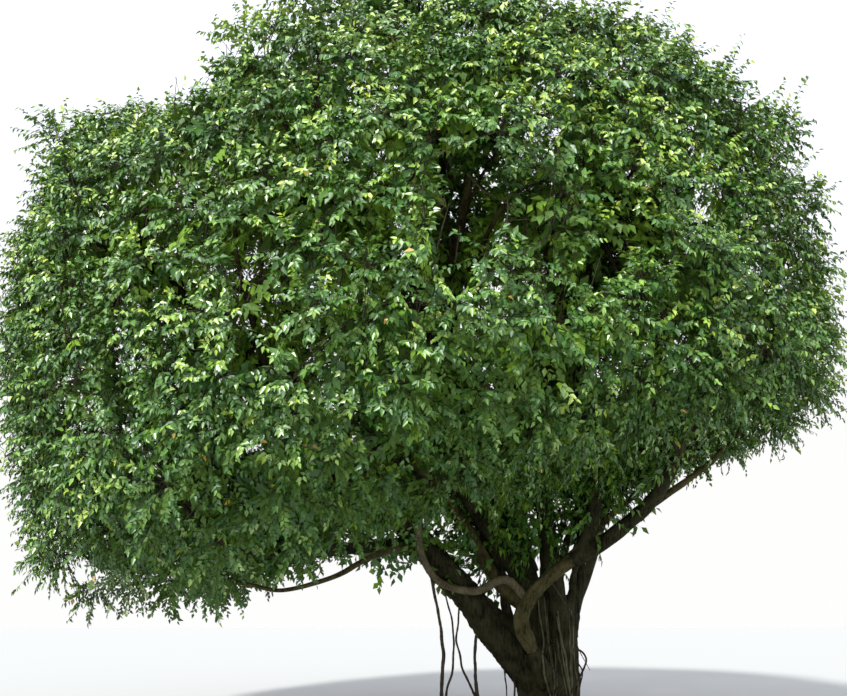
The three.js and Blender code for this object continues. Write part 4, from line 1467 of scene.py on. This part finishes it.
def sprayKinds():
    # painted light and shade: sprays further out, higher up, on the bulges or pointing up are dealt brighter
    # kinds and deeper ones darker, while patches and luck vary the tone at random
    look = toneAndPaintedLight
    spots = starts + sprayReach
    level = look["base"] + look["shadeByDepth"] * (shareAt(spots) - look["shellShare"])
    level = level + look["byPatch"] * bumps(spots, look["patchScale"], look["patchSeed"])
    level += look["byLuck"] * (random.random(len(starts)) - 0.5) + look["lightByRise"] * ways[:, 2]
    level += look["lightByHeight"] * (spots - crown["middle"])[:, 2]
    level += look["lightByRelief"] * reliefAt(unit(spots - crown["middle"]))
    isLow = spots[:, 2] + look["paintedLightVary"] * random.random(len(starts)) < look["paintedLightFrom"]
    level = np.where(role == innerRole, isLow, np.maximum(level, 1))
    middleLevel = np.clip(level - look["middleShade"], 0, look["middleMost"])
    level = np.where(role == middleRole, middleLevel, level)
    return np.clip(np.floor(level), 0, youngKind).astype(int)


sprayKind = sprayKinds()

leafShapes = {
    # across, along and out of the leaf: two halves folded at the midrib, with a drawn-out tip
    "outer": {
        "corners": [(0, 0, 0), (0, 1.0, -0.13), (-0.30, 0.66, 0.03), (-0.5, 0.32, 0.10),
                    (0.5, 0.32, 0.10), (0.30, 0.66, 0.03)],
        "faces": [(0, 1, 2), (0, 2, 3), (0, 4, 5), (0, 5, 1)],
    },
    "inner": {
        "corners": [(0, 0, 0), (0, 1.0, -0.1), (-0.5, 0.4, 0.08), (0.5, 0.4, 0.08)],
        "faces": [(0, 1, 2), (0, 3, 1)],
    },
}
leafLook = {
    "first": 0.24, "offset": 0.75, "up": 0.8,  # where on the spray leaves begin, and how far they face up
    "side": 0.75, "endSide": 0.15, "along": 0.5, "hang": -0.45, "stray": 0.32, "tilt": 0.42, "roll": 0.25,
    "widest": 0.45, "ends": 0.28, "sizeVary": (0.85, 0.3), "tipLeaves": 3, "tipLuck": 0.7, "footLuck": 0.6,
}


def leafKinds(isMine, total, count):
    # leaves at a spray's tip are often brighter than the spray, and those at its foot darker
    look, j = leafLook, np.arange(count)
    kind = np.repeat(sprayKind[isMine][:, None], count, axis=1)
    luck = random.random((total, count))
    isShell = ~isHidden[isMine][:, None]
    isTip = (j >= count - look["tipLeaves"])[None] & (luck < look["tipLuck"])
    kind = np.where(isTip & (kind < youngKind) & isShell, kind + 1, kind)
    isFoot = (j < count / 2)[None] & (luck < look["footLuck"])
    kind = np.where(isFoot & (kind > 1) & isShell, kind - 1, kind)
    return np.where((luck > 1 - foliage["turnedShare"]) & isShell, turnedKind, kind)


def leafPlaces(isMine, count, sizes):
    # leaves on alternate sides of each spray, hanging, with their faces up and outward
    look = leafLook
    reach, out = sprayReach[isMine], outward[isMine]
    total = len(reach)
    j = np.arange(count)
    shares = look["first"] + (1 - look["first"]) * (j + look["offset"]) / count
    shares[-1] = 1.0
    roots = starts[isMine][:, None] + reach[:, None] * shares[None, :, None]
    tangent = unit(reach)[:, None]
    up = unit(out + point(0, 0, look["up"]))[:, None]
    side = unit(np.cross(tangent, up))
    hand = np.where(j % 2 == 0, 1.0, -1.0)[None, :, None]
    sideShare = np.where(j == count - 1, look["endSide"], look["side"])[None, :, None]
    stray = random.normal(size=(total, count, 3)) * look["stray"]
    along = unit(side * hand * sideShare + tangent * look["along"] + point(0, 0, look["hang"]) + stray)
    facing = up + look["tilt"] * random.normal(size=(total, count, 3)) + side * hand * look["roll"]
    facing = unit(facing - along * dot(facing, along))
    fullness = 1 - look["ends"] * np.abs(j - count * look["widest"]) / count
    length = uniform(sizes, total)[:, None] * fullness[None]
    length = length * vary(random, *look["sizeVary"], (total, count))
    kind = leafKinds(isMine, total, count)
    owner = np.repeat(owners[isMine], count)
    order = np.tile(j, total)
    return {"roots": roots.reshape(-1, 3), "along": along.reshape(-1, 3), "facing": facing.reshape(-1, 3),
            "length": length.ravel(), "kind": kind.ravel(), "owner": owner, "order": order}


shellLeaves = leafPlaces(~isHidden, foliage["leaves"], foliage["leafLength"])
isPlain = shellLeaves["order"] < foliage["plainLeaves"]  # the leaves near a spray's foot, under the others
outerLeaves = {key: values[~isPlain] for key, values in shellLeaves.items()}
plainLeaves = {key: values[isPlain] for key, values in shellLeaves.items()}
middleLeaves = leafPlaces(role == middleRole, foliage["middleLeaves"], foliage["middleLength"])
deepLeaves = leafPlaces(role == innerRole, foliage["innerLeaves"], foliage["innerLength"])
innerLeaves = {
    key: np.concatenate([plainLeaves[key], middleLeaves[key], deepLeaves[key]]) for key in deepLeaves
}
print("leaves", len(outerLeaves["kind"]), "outer", len(innerLeaves["kind"]), "inner")


def leafMesh(name, leaves, chosen, shape, material):
    roots, along, facing, lengths = (leaves[key][chosen] for key in ("roots", "along", "facing", "length"))
    side = np.cross(along, facing)
    form = np.array(shape["corners"])
    width = lengths * foliage["leafWidth"]
    corners = (
        roots[:, None]
        + side[:, None] * (form[None, :, 0] * width[:, None])[:, :, None]
        + along[:, None] * (form[None, :, 1] * lengths[:, None])[:, :, None]
        + facing[:, None] * (form[None, :, 2] * lengths[:, None])[:, :, None]
    )
    faces = np.array(shape["faces"])[None] + (np.arange(len(roots)) * len(form))[:, None, None]
    return meshObject(name, corners.reshape(-1, 3), faces.reshape(-1, 3), material)


ringNames = [ring["name"] for ring in rings]
ringOf = np.array([ringNames.index(mass["ring"]) for mass in masses])
layers = (("leaves", outerLeaves, leafShapes["outer"]), ("inner_leaves", innerLeaves, leafShapes["inner"]))
for layer, leaves, shape in layers:
    for r, ringName in enumerate(ringNames):
        ringNodes = [f"foliage_{mass['name']}" for mass in masses if mass["ring"] == ringName]
        for k, kind in enumerate(kinds):
            chosen = np.where((leaves["kind"] == k) & (ringOf[leaves["owner"]] == r))[0]
            if len(chosen) == 0:
                continue
            piece = leafMesh(f"{layer}_{kind}_{ringName}", leaves, chosen, shape, leafMaterials[kind])
            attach(piece, "root")
            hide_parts(*ringNodes)
            print(piece.name, len(piece.data.polygons), "faces")


def joined(parts):
    # several meshes' corners and faces as one
    bases = np.cumsum([0] + [len(corners) for corners, _ in parts])
    faces = [faces + base for (_, faces), base in zip(parts, bases)]
    return np.vstack([corners for corners, _ in parts]), np.vstack(faces)


barePaths, bareRadii = (np.concatenate(parts) for parts in zip(bareTwigs(), shellTwigs()))
sprayPaths = starts[:, None] + sprayReach[:, None] * point(0, 1)[None, :, None]
stalkRadii = repeated(point(*foliage["stalkRadii"]), len(starts))
stalks = manyTubes(sprayPaths, stalkRadii, foliage["stalkSides"])
twigs = joined([
    manyTubes(twigPaths, twigRadii, clusterLook["twigSides"]),
    manyTubes(subLines, subRadii, subBoughLook["sides"]),
    manyTubes(barePaths, bareRadii, bareLook["sides"]),
])
sprayPiece = meshObject("spray_stalks", *stalks, barks["twig"])
twigPiece = meshObject("twigs", *twigs, barks["twig"])
for piece in (sprayPiece, twigPiece):
    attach(piece, "root")
    print(piece.name, len(piece.data.polygons), "faces")

# Floor, light and camera

studio = {
    "floor": (0.33, 0.33, 0.31), "floorSize": 60, "floorRoughness": 0.9,
    "zenith": (1.05, 1.13, 1.34), "horizon": (0.76, 0.765, 0.755), "skyStrength": 1.3,
    "skyRange": (0.2, 0.9),  # heights between which the sky's colour changes
    "sunStrength": 6.6, "sunAngle": 6, "sunTurn": (45, 0, -30), "gamma": 1.2,
}


def addFloor():
    size = studio["floorSize"] / 2
    material, tree, shader = startMaterial("pale_floor")
    shader.inputs["Base Color"].default_value = (*studio["floor"], 1)
    shader.inputs["Roughness"].default_value = studio["floorRoughness"]
    corners = [(-size, -size, 0), (size, -size, 0), (size, size, 0), (-size, size, 0)]
    floor = meshObject("floor", corners, [(0, 1, 2, 3)], material, smooth=False)


def addLight():
    scene.view_settings.view_transform = "Standard"
    scene.view_settings.gamma = studio["gamma"]
    world = bpy.data.worlds.new("soft_sky")
    scene.world = world
    world.use_nodes = True
    tree = world.node_tree
    sky = tree.nodes["Background"]
    way = tree.nodes.new("ShaderNodeTexCoord").outputs["Generated"]
    parts = addNode(tree, "ShaderNodeSeparateXYZ", {"Vector": way})
    height = addRange(tree, parts.outputs["Z"], *studio["skyRange"])
    colour = addMix(tree, height, (*studio["horizon"], 1), (*studio["zenith"], 1))
    feed(tree, sky.inputs["Color"], colour)
    sky.inputs["Strength"].default_value = studio["skyStrength"]
    sun = bpy.data.lights.new("soft_key", "SUN")
    sun.energy = studio["sunStrength"]
    sun.angle = math.radians(studio["sunAngle"])
    key = bpy.data.objects.new("soft_key", sun)
    key.rotation_euler = [math.radians(x) for x in studio["sunTurn"]]
    scene.collection.objects.link(key)


def addCamera():
    data = bpy.data.cameras.new("viewpoint")
    data.sensor_width = viewpoint["sensorWidth"]
    data.lens = viewpoint["sensorWidth"] * viewpoint["focalPixels"] / viewpoint["widthPixels"]
    data.clip_end = viewpoint["farthest"]
    camera = bpy.data.objects.new("viewpoint", data)
    camera.location = viewpoint["place"]
    camera.rotation_euler = (math.radians(viewpoint["level"] + viewpoint["pitch"]), 0, 0)
    scene.collection.objects.link(camera)
    scene.camera = camera


addFloor()
addLight()
addCamera()
print("stage made")
